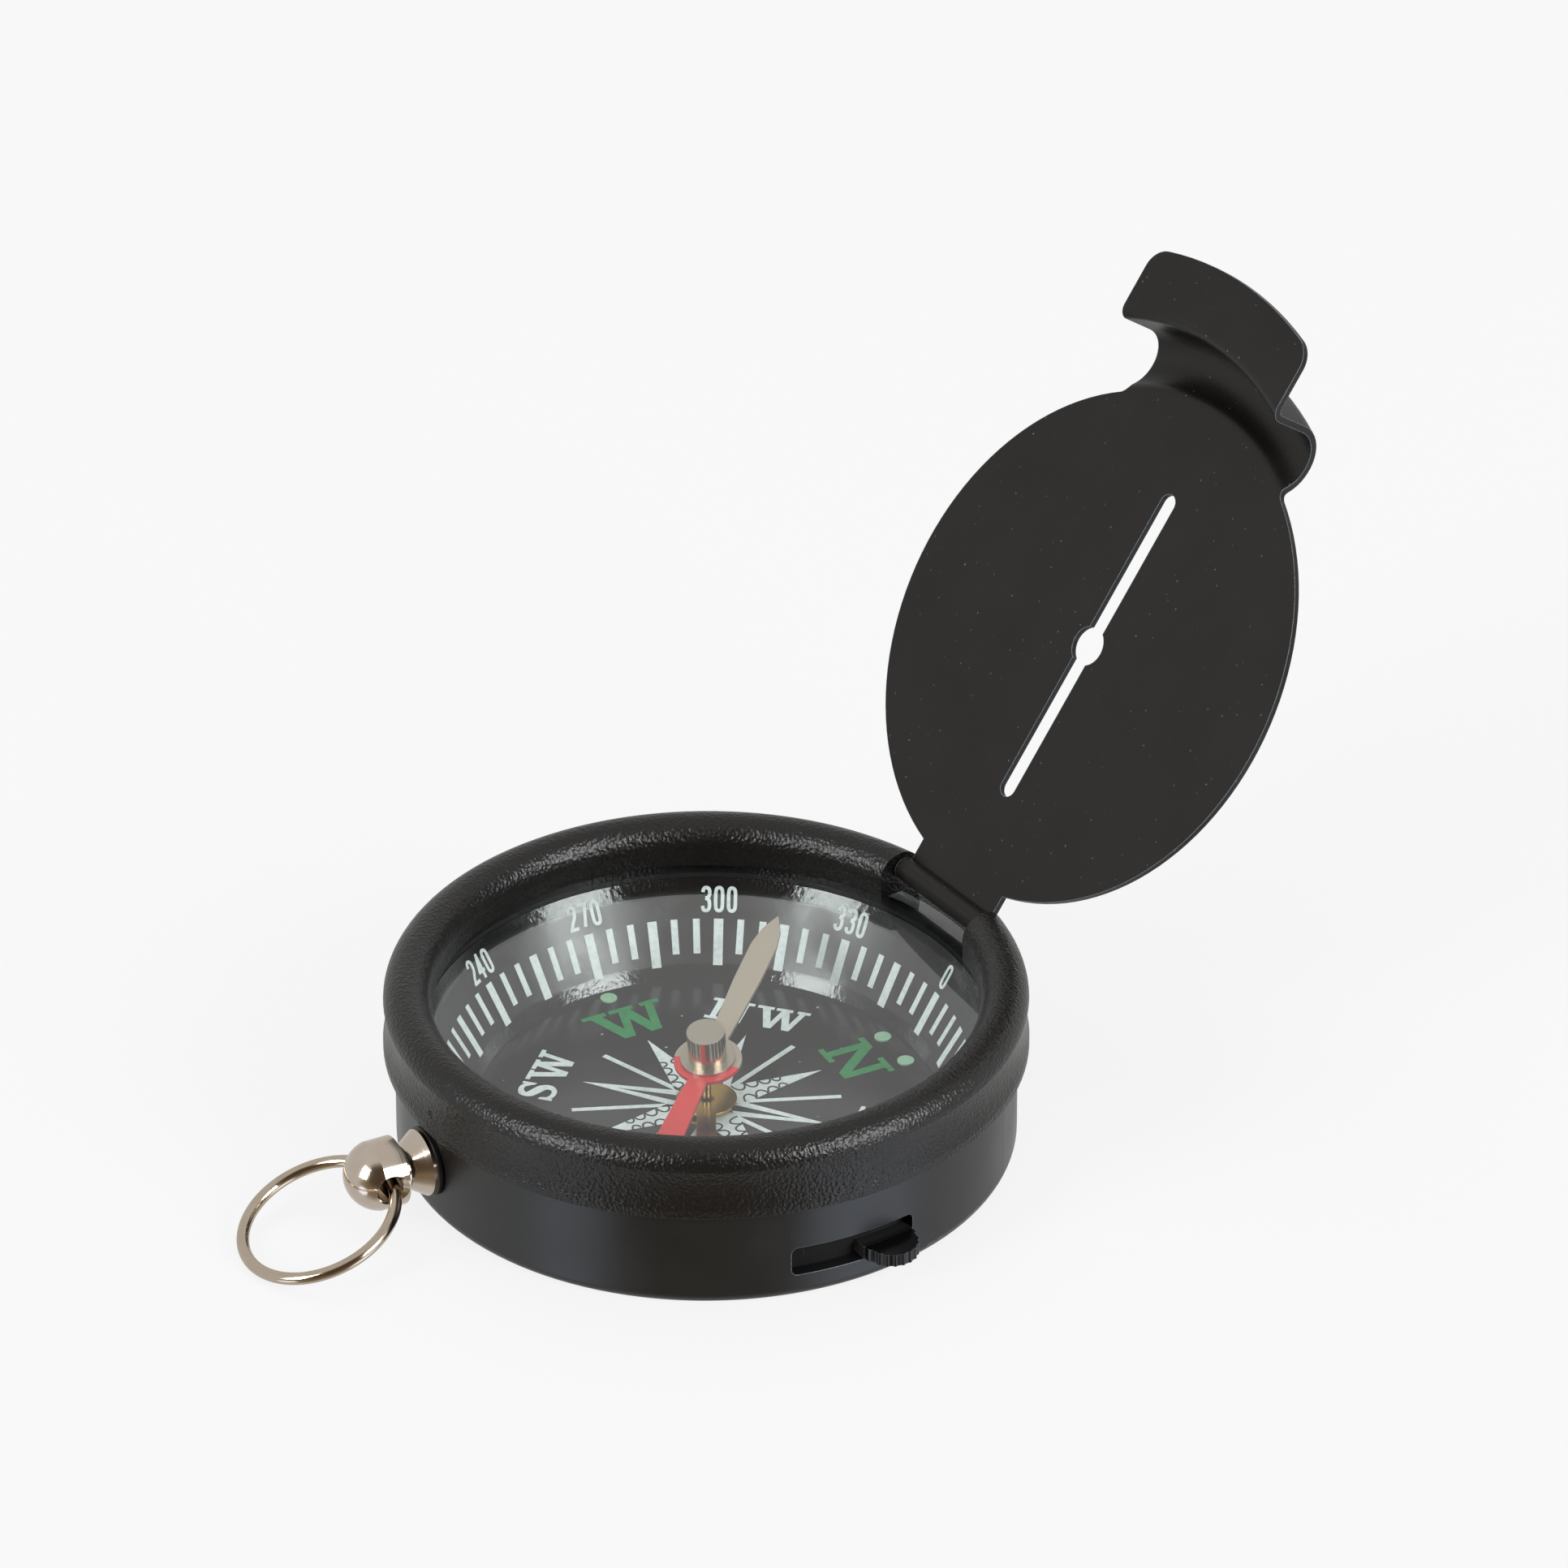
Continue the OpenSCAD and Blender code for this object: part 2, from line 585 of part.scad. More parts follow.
// Moulded slide: curved shield behind the slot, ramped finger and ribbed thumb piece
module lock_slide() {
    color([0.07, 0.07, 0.07]) {
        band(slide_in_r, slide_out_r, floor_t + slide_gap, floor_t + slide_gap + slide_h,
            cover_from, cover_to);
        band(slide_in_r + slide_t / 2, case_r + slide_gap, thumb_z - thumb_t / 2, thumb_z + thumb_t / 2,
            slide_at - thumb_half, slide_at + thumb_half);
        rotate([0, 0, slide_at]) thumb();
        rotate([0, 0, finger_mid]) translate([finger_mid_r + finger_t / 2, 0, finger_z])
            rotate([90, 0, -90]) linear_extrude(finger_t) polygon([
                [-finger_len / 2, -ramp_fall], [finger_len / 2, 0],
                [finger_len / 2, finger_h / 2], [finger_len / 2 - finger_h / 2, finger_h],
                [-finger_len / 2, finger_h]]);
    }
}

module thumb() {
    in_x = case_r - slide_gap;
    end_c = case_r + thumb_reach - thumb_end_w / 2;
    end_x = case_r + thumb_reach;
    neck_w = thumb_w - 2 * slide_gap;
    intersection() {
        translate([0, 0, thumb_z - thumb_t]) linear_extrude(2 * thumb_t) {
            polygon([[in_x, -neck_w / 2], [end_c, -neck_w / 2], [end_c + rib_r, -thumb_end_w / 2],
                [end_c + rib_r, thumb_end_w / 2], [end_c, neck_w / 2], [in_x, neck_w / 2]]);
            translate([end_c, 0]) circle(r = thumb_end_w / 2 - rib_r / 2, $fn = fine_fn);
            for (i = [0:thumb_ribs - 1])
                translate([end_c, 0]) rotate([0, 0, (i / (thumb_ribs - 1) - 0.5) * rib_span])
                    translate([thumb_end_w / 2 - rib_r, 0]) circle(r = rib_r, $fn = fine_fn / 2);
        }
        translate([0, thumb_w, thumb_z]) rotate([90, 0, 0]) linear_extrude(2 * thumb_w)
            polygon([[in_x, -thumb_t / 2], [end_x + rib_r, -thumb_end_t / 2],
                [end_x + rib_r, thumb_end_t / 2], [in_x, thumb_t / 2]]);
    }
}

// Places a child of the closed lid at the open angle; the hinge lies at +Y
module on_hinge(angle) {
    rotate([0, 0, bezel_turn]) translate([0, hinge_track, hinge_z]) rotate([-angle, 0, 0])
        translate([0, -hinge_track, -hinge_z]) children();
}

// One sheet: sighting disc, arch over the rim, flat tab, neck and rolled knuckle
module lid() {
    color([0.11, 0.11, 0.12]) on_hinge(open_angle) difference() {
        union() {
            translate([0, 0, lid_z]) cylinder(r = lid_r, h = lid_t);
            intersection() {
                rotate([0, 0, 180]) rotate_extrude(angle = 180) arch_profile();
                translate([0, 0, tab_z - over]) linear_extrude(roll_top) tab_outline();
            }
            translate([-knuckle_len / 2, lid_r - lid_t * 3, lid_z])
                cube([knuckle_len, hinge_track - lid_r + lid_t * 3, lid_t]);
            translate([-knuckle_len / 2, hinge_track, hinge_z]) rotate([0, 90, 0])
                cylinder(r = knuckle_r, h = knuckle_len, $fn = fine_fn);
        }
        translate([-knuckle_len, hinge_track, hinge_z]) rotate([0, 90, 0])
            cylinder(r = knuckle_bore, h = 2 * knuckle_len, $fn = fine_fn);
        translate([-knuckle_len, hinge_track - knuckle_r, lid_z - seam_w])
            cube([2 * knuckle_len, knuckle_r, seam_w]);
        sight_cut();
    }
}

// Section of the sheet from the disc over the rolled rim to the tab's edge
module arch_profile() {
    bend_out = bend_r + lid_t;
    foot = [lid_r, lid_z + lid_t / 2 + foot_mid];
    top = [roll_track, arch_z];
    far = foot_mid + 2 * arch_mid;
    translate([lid_r - 2 * lid_t, lid_z]) square([2 * lid_t, lid_t]);
    intersection() {
        bend(foot, foot_mid);
        polygon([foot, foot - [0, far], top]);
    }
    intersection() {
        bend(top, arch_mid);
        polygon([top, foot, foot + [0, far], top + [far, far], top + [far, 0]]);
    }
    translate([leg_r, tab_z + bend_out]) square([lid_t, arch_z - tab_z - bend_out]);
    intersection() {
        bend([leg_r + bend_out, tab_z + bend_out], bend_r + lid_t / 2);
        translate([leg_r, tab_z]) square([bend_out, bend_out]);
    }
    translate([leg_r + bend_out, tab_z]) square([tab_reach - leg_r - bend_out, lid_t]);
}

// Ring of the sheet's thickness round a bend's centre
module bend(centre, mid_r) {
    translate(centre) difference() {
        circle(r = mid_r + lid_t / 2);
        circle(r = mid_r - lid_t / 2);
    }
}

// Plan of the arch and tab with rounded outer corners
module tab_outline() {
    corner_x = strip_w / 2 - tab_corner;
    corner_y = sqrt(pow(tab_reach - tab_corner, 2) - pow(corner_x, 2));
    translate([-strip_w / 2, -corner_y]) square([strip_w, corner_y]);
    // Between the corners, the sides run outwards along the radii through the corners' middles
    out_share = (tab_reach + over) / (tab_reach - tab_corner);
    polygon([[0, 0], [corner_x * out_share, -corner_y * out_share], [corner_x * out_share, -tab_reach - over],
        [-corner_x * out_share, -tab_reach - over], [-corner_x * out_share, -corner_y * out_share]]);
    for (s = [-1, 1]) translate([s * corner_x, -corner_y]) circle(r = tab_corner);
    // Rounded corners where the strip leaves the disc
    side_x = strip_w / 2 + arch_corner;
    side_y = sqrt(pow(lid_r + arch_corner, 2) - pow(side_x, 2));
    for (s = [-1, 1]) difference() {
        polygon([[0, 0], [s * side_x * lid_r / (lid_r + arch_corner), -side_y * lid_r / (lid_r + arch_corner)],
            [s * side_x, -side_y], [s * strip_w / 2, -side_y], [0, -side_y]]);
        translate([s * side_x, -side_y]) circle(r = arch_corner + seat);
    }
}

module sight_cut() {
    run_y = (sight_len - sight_w) / 2;
    translate([0, 0, lid_z - over]) linear_extrude(lid_t + 2 * over) {
        translate([-sight_w / 2, -run_y]) square([sight_w, 2 * run_y]);
        for (s = [-1, 1]) translate([0, s * run_y]) circle(r = sight_w / 2, $fn = fine_fn);
        circle(r = sight_hole_r, $fn = fine_fn);
    }
}

module hinge_pin() {
    color([0.2, 0.2, 0.21]) rotate([0, 0, bezel_turn]) translate([-pin_len / 2, hinge_track, hinge_z])
        rotate([0, 90, 0]) cylinder(r = pin_r, h = pin_len, $fn = fine_fn);
}

module post_washer() {
    color([0.04, 0.04, 0.04]) difference() {
        post_bar(washer_r, washer_r, washer_y, cone_y);
        post_bar(sleeve_r + seat, sleeve_r + seat, washer_y - over, cone_y + over);
    }
}

// Nickel cone with a sleeve through the washer and the case wall
module post_cone() {
    color([0.8, 0.74, 0.66]) difference() {
        union() {
            post_bar(sleeve_r, sleeve_r, case_in_r - slip, cone_y);
            post_bar(cone_r, cone_r, cone_y, cone_y + cone_rim);
            post_bar(cone_r, neck_r, cone_y + cone_rim, neck_y - slip);
        }
        post_bar(stem_r + run, stem_r + run, case_in_r - over, neck_y + over);
    }
}

// Swivel: domed head with a cross hole, neck and a stem that turns in the cone
module swivel_head() {
    color([0.82, 0.76, 0.68]) difference() {
        union() {
            post_bar(stem_r, stem_r, clip_y, neck_y);
            post_bar(neck_r, neck_r, neck_y, head_y);
            translate([0, -head_y, post_z]) rotate([90, 0, 0]) rotate_extrude() {
                square([head_r, band_len]);
                intersection() {
                    translate([0, band_len + dome_h - dome_r]) circle(r = dome_r);
                    translate([0, band_len / 2]) square([head_r, band_len + dome_h]);
                }
            }
        }
        at_ring_hole() {
            cylinder(r = ring_hole_r, h = 4 * head_r, center = true, $fn = fine_fn);
            for (s = [0, 180]) rotate([s, 0, 0]) translate([0, 0, head_r - 2 * hole_chamfer])
                cylinder(r1 = ring_hole_r, r2 = ring_hole_r + 3 * hole_chamfer, h = 3 * hole_chamfer, $fn = fine_fn);
        }
    }
}

// Frame at the cross hole: +Z along the hole, +X down
module at_ring_hole() {
    translate([0, -hole_y, post_z]) rotate([0, 90, 0]) children();
}

module swivel_clip() {
    color([0.55, 0.55, 0.56]) difference() {
        post_bar(clip_r, clip_r, clip_y, clip_y + clip_t);
        post_bar(stem_r + seat, stem_r + seat, clip_y - over, clip_y + clip_t + over);
    }
}

// The ring's middle lies off the hole, outwards (-Y) and down by the fall
module lanyard_ring() {
    color([0.84, 0.77, 0.67]) at_ring_hole() rotate([0, 0, ring_fall]) rotate([-lean_angle, 0, 0])
        translate([0, ring_slack - ring_r, 0]) rotate([0, 90, 0]) rotate_extrude()
            translate([ring_r, 0]) circle(r = wire_r, $fn = fine_fn);
}

case();
bezel();
glass();
gasket();
scale_ring();
dial_plate();
lume_dots();
pivot_bush();
pivot_pin();
needle();
needle_cap();
jewel();
lock_lever();
lever_pin();
lock_slide();
lid();
hinge_pin();
post_washer();
post_cone();
swivel_head();
swivel_clip();
lanyard_ring();
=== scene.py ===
# %% [markdown]
# # A pocket compass with a sighting lid
# The compass is a round steel cup with a rolled rim, a glass, a black dial with a sloping degree
# ring, a needle that is half red, a lid that folds back on a hinge, and a nickel ring on a swivel.
# Its solids come ready-made from the CAD model as a fixed frame. This lesson gives them their
# paints and metals, prints the dial, and sets up the camera and the studio. The printing could be
# an image on the dial, but real ink is a thin film with crisp edges, so it is built as thin mesh.

# %% Load the solids
import math

import bpy
from mathutils import Matrix, Vector


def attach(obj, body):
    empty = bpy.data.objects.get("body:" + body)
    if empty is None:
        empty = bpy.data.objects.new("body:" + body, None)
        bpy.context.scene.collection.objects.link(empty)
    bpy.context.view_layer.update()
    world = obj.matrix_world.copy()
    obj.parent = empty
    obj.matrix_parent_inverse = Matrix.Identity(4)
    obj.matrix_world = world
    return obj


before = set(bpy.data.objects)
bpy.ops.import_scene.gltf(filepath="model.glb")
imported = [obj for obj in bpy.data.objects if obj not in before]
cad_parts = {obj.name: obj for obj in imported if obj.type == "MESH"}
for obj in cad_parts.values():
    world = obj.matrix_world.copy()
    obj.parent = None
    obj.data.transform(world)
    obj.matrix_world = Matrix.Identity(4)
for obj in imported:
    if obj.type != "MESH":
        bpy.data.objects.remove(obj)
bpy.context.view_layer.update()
scene = bpy.context.scene
MM = 0.001
print("nodes:", ", ".join(sorted(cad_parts)))

# %% [markdown]
# ## The camera
# A product photograph is taken from about a metre away with a long lens, so that the round case
# keeps its shape. The camera's place was solved from the outline of the case, the rims and the
# degree marks. It could be aimed at the case and then shifted, but other views keep a shift, so it
# is aimed at the middle of the picture instead and has none.

# %% Camera
PHOTO_PX, FOCAL_PX = 1932, 15955.9
SENSOR_MM = 36
CAMERA_AWAY = 1002.6 * MM
view_az, view_el = math.radians(62.88), math.radians(33.23)
aim_point = Vector((0, 0, 8 * MM))
back = Vector((math.sin(view_az) * math.cos(view_el), -math.cos(view_az) * math.cos(view_el),
               math.sin(view_el)))
right = Vector((math.cos(view_az), math.sin(view_az), 0))
up = back.cross(right)
camera_at = aim_point + CAMERA_AWAY * back

# The aim point stands at (868.8, 1286.0) in the picture and the lens looks at (966, 966). These are
# the 97.2 and 320 px between the two, over the focal length.
LOOK_RIGHT, LOOK_UP = 0.006092, 0.020055
look = (LOOK_RIGHT * right + LOOK_UP * up - back).normalized()
camera_right = look.cross(Vector((0, 0, 1))).normalized()
camera_up = camera_right.cross(look)
roll = Matrix.Rotation(math.radians(-0.05), 4, "Z")

lens = bpy.data.cameras.new("long_lens")
lens.sensor_width = SENSOR_MM
lens.lens = FOCAL_PX * SENSOR_MM / PHOTO_PX
lens.clip_start, lens.clip_end = 0.05, 20
camera = bpy.data.objects.new("camera", lens)
scene.collection.objects.link(camera)
turn = Matrix((camera_right, camera_up, -look)).transposed().to_4x4()
camera.matrix_world = Matrix.Translation(camera_at) @ turn @ roll
scene.camera = camera
print("lens", round(lens.lens, 1), "mm, camera at", [round(v / MM, 1) for v in camera_at])

# %% [markdown]
# ## Helpers for finishes
# Colours are noted as people read them, in sRGB hex, and a shader wants them linear, so one small
# function turns them. A second one adds a node with its settings and its links. Every pattern
# below is laid out in metres on the part itself, so that a grain of 0.2 mm is 0.2 mm on the object.
# Most of a noise pattern's values lie between 0.3 and 0.7, so a roughness is spread over that span.
# A Mix node keeps the sockets of all its kinds in one row: number 0 is the share, 6 and 7 are the two
# colours and output 2 their mixture, and 2 and 3 are the two plain numbers and output 0 theirs.

# %% Colour and node helpers
NOISE_SPAN = {"From Min": 0.3, "From Max": 0.7}


def tint(hex_code):
    """An sRGB colour such as #2f8a55 as the linear colour a shader wants."""
    parts = [int(hex_code[i:i + 2], 16) / 255 for i in (1, 3, 5)]
    return [c / 12.92 if c <= 0.04045 else ((c + 0.055) / 1.055) ** 2.4 for c in parts] + [1.0]


def every_mm(size):
    """The scale at which a pattern repeats about every so many millimetres."""
    return 1 / (size * MM)


def add(tree, kind, inputs=None, out=0, **settings):
    """Adds one node. A socket among its inputs is linked, anything else is typed in. Gives its output."""
    node = tree.nodes.new("ShaderNode" + kind)
    for key, value in settings.items():
        setattr(node, key, value)
    for key, value in (inputs or {}).items():
        if isinstance(value, bpy.types.NodeSocket):
            tree.links.new(value, node.inputs[key])
        else:
            node.inputs[key].default_value = value
    return node.outputs[out] if len(node.outputs) else node


def blank(name):
    """An empty material and its node tree."""
    material = bpy.data.materials.new(name)
    material.use_nodes = True
    material.node_tree.nodes.clear()
    return material, material.node_tree


def dress(material, *names):
    """Puts a finish on CAD nodes."""
    for name in names:
        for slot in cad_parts[name].material_slots:
            slot.material = material
    print(material.name, "on", ", ".join(names))


print("the grey #808080 is", round(tint("#808080")[0], 3), "in linear light")

# %% [markdown]
# ## Edges
# No pressed edge is perfectly sharp, and paint thins out on it. The bevel node rounds an edge in the
# shading alone. Where its normal leaves the real one, there is an edge, and that gives a mask for a
# thin bright line: partly worn paint, partly a painted highlight where the edge would catch the
# lamps. A modelled rounding would be smoother, but the CAD mesh stays as it is.

# %% Edge helper
EDGE_FROM, EDGE_FULL = 0.96, 0.80  # cosines of the angle between the rounded and the real normal


def worn_edge(tree, radius_mm):
    """A normal that rounds the edges, and a mask that is 1 along them: worn paint and a painted edge
    highlight.
    """
    rounded = add(tree, "Bevel", {"Radius": radius_mm * MM}, samples=6)
    alike = add(tree, "VectorMath", {0: rounded, 1: add(tree, "NewGeometry", out="Normal")}, out="Value",
                operation="DOT_PRODUCT")
    return rounded, add(tree, "MapRange", {"Value": alike, "From Min": EDGE_FROM, "From Max": EDGE_FULL})


print("the edge mask grows from", round(math.degrees(math.acos(EDGE_FROM))), "to",
      round(math.degrees(math.acos(EDGE_FULL))), "degrees")

# %% [markdown]
# ## Stoved enamel on the cup
# The cup is pressed from steel sheet and dipped in satin black enamel, which is then baked. It
# gives the eye a soft sheen with faint clouds and a very low grain. It could be one flat black,
# but the clouds in the gloss are what makes it look like paint on metal. The edges of the lock's
# slot carry a thin bluish grey line, painted along a small rounding in the shader: partly worn
# paint, partly a painted highlight where the edges catch the lamps.

# %% Cup enamel
cup_enamel, tree = blank("satin_stoved_enamel")
where = add(tree, "TexCoord", out="Object")
clouds = add(tree, "TexNoise", {"Vector": where, "Scale": every_mm(6), "Detail": 3.0})
grain = add(tree, "TexNoise", {"Vector": where, "Scale": every_mm(0.3), "Detail": 3.0})
ground = add(tree, "Mix", {0: clouds, 6: tint("#0c0c0c"), 7: tint("#151414")}, out=2, data_type="RGBA")
# Along the edges a bluish grey: worn paint and a painted highlight where the edges catch the lamps.
edge, worn = worn_edge(tree, 0.08)
wear_and_highlight_share = add(tree, "Math", {0: worn, 1: 0.9}, operation="MULTIPLY")
colour = add(tree, "Mix", {0: wear_and_highlight_share, 6: ground, 7: tint("#878f96")}, out=2, data_type="RGBA")
gloss = add(tree, "MapRange", {"Value": clouds, **NOISE_SPAN, "To Min": 0.30, "To Max": 0.38})
relief = add(tree, "Bump", {"Height": grain, "Strength": 0.3, "Distance": 0.012 * MM, "Normal": edge})
enamel = add(tree, "BsdfPrincipled", {"Base Color": colour, "Roughness": gloss, "Normal": relief,
                                      "Specular IOR Level": 0.5})
add(tree, "OutputMaterial", {"Surface": enamel})
dress(cup_enamel, "case")

# %% [markdown]
# ## Wrinkle enamel on the bezel
# The bezel's enamel is thicker and dries with a fine wrinkle. Each small hump catches the lamps by
# itself, which gives the sparkle along the roll. It could be painted on as white dots, but they
# would not move with the light, so the humps are relief. The real wrinkle is about 0.2 mm, and is
# drawn at 0.3 mm here, because a finer one is lost between the pixels.

# %% Bezel enamel
bezel_enamel, tree = blank("wrinkle_enamel")
where = add(tree, "TexCoord", out="Object")
humps = add(tree, "TexVoronoi", {"Vector": where, "Scale": every_mm(0.3)}, out="Distance")
ripple = add(tree, "TexNoise", {"Vector": where, "Scale": every_mm(0.22), "Detail": 2.0})
clouds = add(tree, "TexNoise", {"Vector": where, "Scale": every_mm(5), "Detail": 2.0})
height = add(tree, "Math", {0: humps, 1: ripple}, operation="ADD")
gloss = add(tree, "MapRange", {"Value": clouds, **NOISE_SPAN, "To Min": 0.28, "To Max": 0.34})
ground = add(tree, "Mix", {0: ripple, 6: tint("#060505"), 7: tint("#120f0d")}, out=2, data_type="RGBA")
# A faint grey line along the edges: worn paint and a painted edge highlight.
edge, worn = worn_edge(tree, 0.08)
wear_and_highlight_share = add(tree, "Math", {0: worn, 1: 0.15}, operation="MULTIPLY")
colour = add(tree, "Mix", {0: wear_and_highlight_share, 6: ground, 7: tint("#6a6c6c")}, out=2, data_type="RGBA")
relief = add(tree, "Bump", {"Height": height, "Strength": 1.0, "Distance": 0.05 * MM, "Normal": edge})
enamel = add(tree, "BsdfPrincipled", {"Base Color": colour, "Roughness": gloss, "Normal": relief,
                                      "Specular IOR Level": 0.42})
add(tree, "OutputMaterial", {"Surface": enamel})
dress(bezel_enamel, "bezel")

# %% [markdown]
# ## Matt enamel on the lid
# The lid gets a matt coat, so that nothing glares when one sights along it. It is a warm dark grey
# with a fine tooth, and a few light specks of dust and worn paint. A rough surface with very low
# relief gives the even grey, and the specks come from the cells of a fine Voronoi pattern.

# %% Lid enamel
lid_enamel, tree = blank("matt_stoved_enamel")
where = add(tree, "TexCoord", out="Object")
tooth = add(tree, "TexNoise", {"Vector": where, "Scale": every_mm(0.2), "Detail": 3.0})
cells = add(tree, "TexVoronoi", {"Vector": where, "Scale": every_mm(0.9)}, out="Distance")
drift = add(tree, "TexNoise", {"Vector": where, "Scale": every_mm(7), "Detail": 2.0})
speck = add(tree, "MapRange", {"Value": cells, "From Min": 0.12, "From Max": 0.05, "To Max": 0.55})
few = add(tree, "MapRange", {"Value": tooth, "From Min": 0.50, "From Max": 0.62})
dust = add(tree, "Math", {0: speck, 1: few}, operation="MULTIPLY")
even = add(tree, "Mix", {0: drift, 6: tint("#0f0d0b"), 7: tint("#14120f")}, out=2, data_type="RGBA")
ground = add(tree, "Mix", {0: dust, 6: even, 7: tint("#7b7873")}, out=2, data_type="RGBA")
# A bluish grey line along the rim and the slot: worn paint and a painted highlight where the sheet's edges
# catch the lamps.
edge, worn = worn_edge(tree, 0.1)
wear_and_highlight_share = add(tree, "Math", {0: worn, 1: 0.9}, operation="MULTIPLY")
colour = add(tree, "Mix", {0: wear_and_highlight_share, 6: ground, 7: tint("#8b929b")}, out=2, data_type="RGBA")
gloss = add(tree, "MapRange", {"Value": drift, **NOISE_SPAN, "To Min": 0.36, "To Max": 0.42})
relief = add(tree, "Bump", {"Height": tooth, "Strength": 0.5, "Distance": 0.03 * MM, "Normal": edge})
enamel = add(tree, "BsdfPrincipled", {"Base Color": colour, "Roughness": gloss, "Normal": relief,
                                      "Specular IOR Level": 0.26})
add(tree, "OutputMaterial", {"Surface": enamel})
dress(lid_enamel, "lid")

# %% [markdown]
# ## The glass
# A flat disc of float glass lies under the rim. From above it shows the pale room as a grey veil over
# the black dial. Full refraction would be truer for a lens, but in a thin flat pane it only shifts the
# dial by half a millimetre and hides it from the lamps. So the faces are a clear sheet that mirrors by
# Fresnel's law, counted once for both faces, and only the sawn edge, which shows green in the hinge's
# notch, is real bending glass.

# %% Float glass
GLASS_IOR = 1.52
BOTH_FACES = 1.7  # what the two faces mirror together, against one
float_glass, tree = blank("float_glass")
where = add(tree, "TexCoord", out="Object")
float_wave = add(tree, "TexNoise", {"Vector": where, "Scale": every_mm(7), "Detail": 1.0})
relief = add(tree, "Bump", {"Height": float_wave, "Strength": 0.15, "Distance": 0.02 * MM})
shape = add(tree, "NewGeometry").node
outside = add(tree, "Math", {0: 1.0, 1: shape.outputs["Backfacing"]}, operation="SUBTRACT")
two_faces = add(tree, "Math", {0: add(tree, "Fresnel", {"IOR": GLASS_IOR}), 1: BOTH_FACES},
                operation="MULTIPLY")
mirrored = add(tree, "Math", {0: two_faces, 1: outside}, operation="MULTIPLY", use_clamp=True)
mirror = add(tree, "BsdfGlossy", {"Color": tint("#ffffff"), "Roughness": 0.02, "Normal": relief})
straight = add(tree, "BsdfTransparent", {"Color": tint("#fafcfb")})
face = add(tree, "MixShader", {0: mirrored, 1: straight, 2: mirror})
sawn = add(tree, "BsdfPrincipled", {"Base Color": tint("#3c6a58"), "Roughness": 0.25, "IOR": GLASS_IOR,
                                    "Transmission Weight": 1.0})
upright = add(tree, "SeparateXYZ", {0: add(tree, "TexCoord", out="Normal")}, out="Z")
flat_share = add(tree, "Math", {0: upright, 1: upright}, operation="MULTIPLY")
add(tree, "OutputMaterial", {"Surface": add(tree, "MixShader", {0: flat_share, 1: sawn, 2: face})})
dress(float_glass, "glass")

# %% [markdown]
# ## Dial, degree ring and small black parts
# The dial is a steel plate in satin black, and the degree ring a glossy moulding whose surface
# ripples a little, so that a lamp in it breaks into blotches. The gasket is rubber, and the washer is
# blackened steel. One function serves the plain ones, because they are all black and differ in gloss
# and grain.

# %% Black finishes
def black_finish(name, dark, light, grain_mm, rough, relief_mm, strength, specks=0.0):
    """A black surface: two near colours, a grain size, roughness from rough[0] to rough[1], relief, dust."""
    material, tree = blank(name)
    where = add(tree, "TexCoord", out="Object")
    grain = add(tree, "TexNoise", {"Vector": where, "Scale": every_mm(grain_mm), "Detail": 3.0})
    broad = add(tree, "TexNoise", {"Vector": where, "Scale": every_mm(8 * grain_mm), "Detail": 2.0})
    ground = add(tree, "Mix", {0: grain, 6: tint(dark), 7: tint(light)}, out=2, data_type="RGBA")
    cells = add(tree, "TexVoronoi", {"Vector": where, "Scale": every_mm(2.4)}, out="Distance")
    dust = add(tree, "MapRange", {"Value": cells, "From Min": 0.06, "From Max": 0.03, "To Max": specks})
    colour = add(tree, "Mix", {0: dust, 6: ground, 7: tint("#d5d6d2")}, out=2, data_type="RGBA")
    gloss = add(tree, "MapRange", {"Value": broad, "From Min": 0.35, "From Max": 0.65, "To Min": rough[0],
                                   "To Max": rough[1]})
    edge = add(tree, "Bevel", {"Radius": 0.05 * MM}, samples=6)
    relief = add(tree, "Bump", {"Height": grain, "Strength": strength, "Distance": relief_mm * MM,
                                "Normal": edge})
    surface = add(tree, "BsdfPrincipled", {"Base Color": colour, "Roughness": gloss, "Normal": relief})
    add(tree, "OutputMaterial", {"Surface": surface})
    return material


# Stoved satin black on sheet steel: even, with a soft reflection of the marks around it.
dress(black_finish("smooth_stoved_enamel", "#0f0e0d", "#161514", grain_mm=0.25, rough=(0.12, 0.18),
                   relief_mm=0.0012, strength=0.2, specks=0.6), "dial_plate")
# Nitrile rubber: no sheen.
dress(black_finish("moulded_nitrile_rubber", "#0c0c0c", "#121212", grain_mm=0.2, rough=(0.60, 0.75),
                   relief_mm=0.01, strength=0.3), "gasket")
# Blackened steel: darker and oilier than paint.
dress(black_finish("blackened_steel", "#0b0b0b", "#131211", grain_mm=0.15, rough=(0.30, 0.40),
                   relief_mm=0.006, strength=0.3), "post_washer")

# %% [markdown]
# The degree ring needs one more thing. Its printed slope is matt with ink and varnish, but the foot
# and the top edge stay as they left the mould, glossy and slightly rippled. Lamps show there as hard,
# blotchy patches, and only as a faint sheen between the marks. So its gloss changes with the radius.

# %% Degree ring finish
moulding, tree = blank("gloss_moulded_plastic")
where = add(tree, "TexCoord", out="Object")
ripple = add(tree, "TexNoise", {"Vector": where, "Scale": every_mm(0.55), "Detail": 4.0})
swell = add(tree, "TexNoise", {"Vector": where, "Scale": every_mm(3), "Detail": 2.0})
ground = add(tree, "Mix", {0: swell, 6: tint("#0e0e0e"), 7: tint("#151515")}, out=2, data_type="RGBA")
flat = add(tree, "VectorMath", {0: where, 1: (1, 1, 0)}, operation="MULTIPLY")
radius = add(tree, "VectorMath", {0: flat}, out="Value", operation="LENGTH")
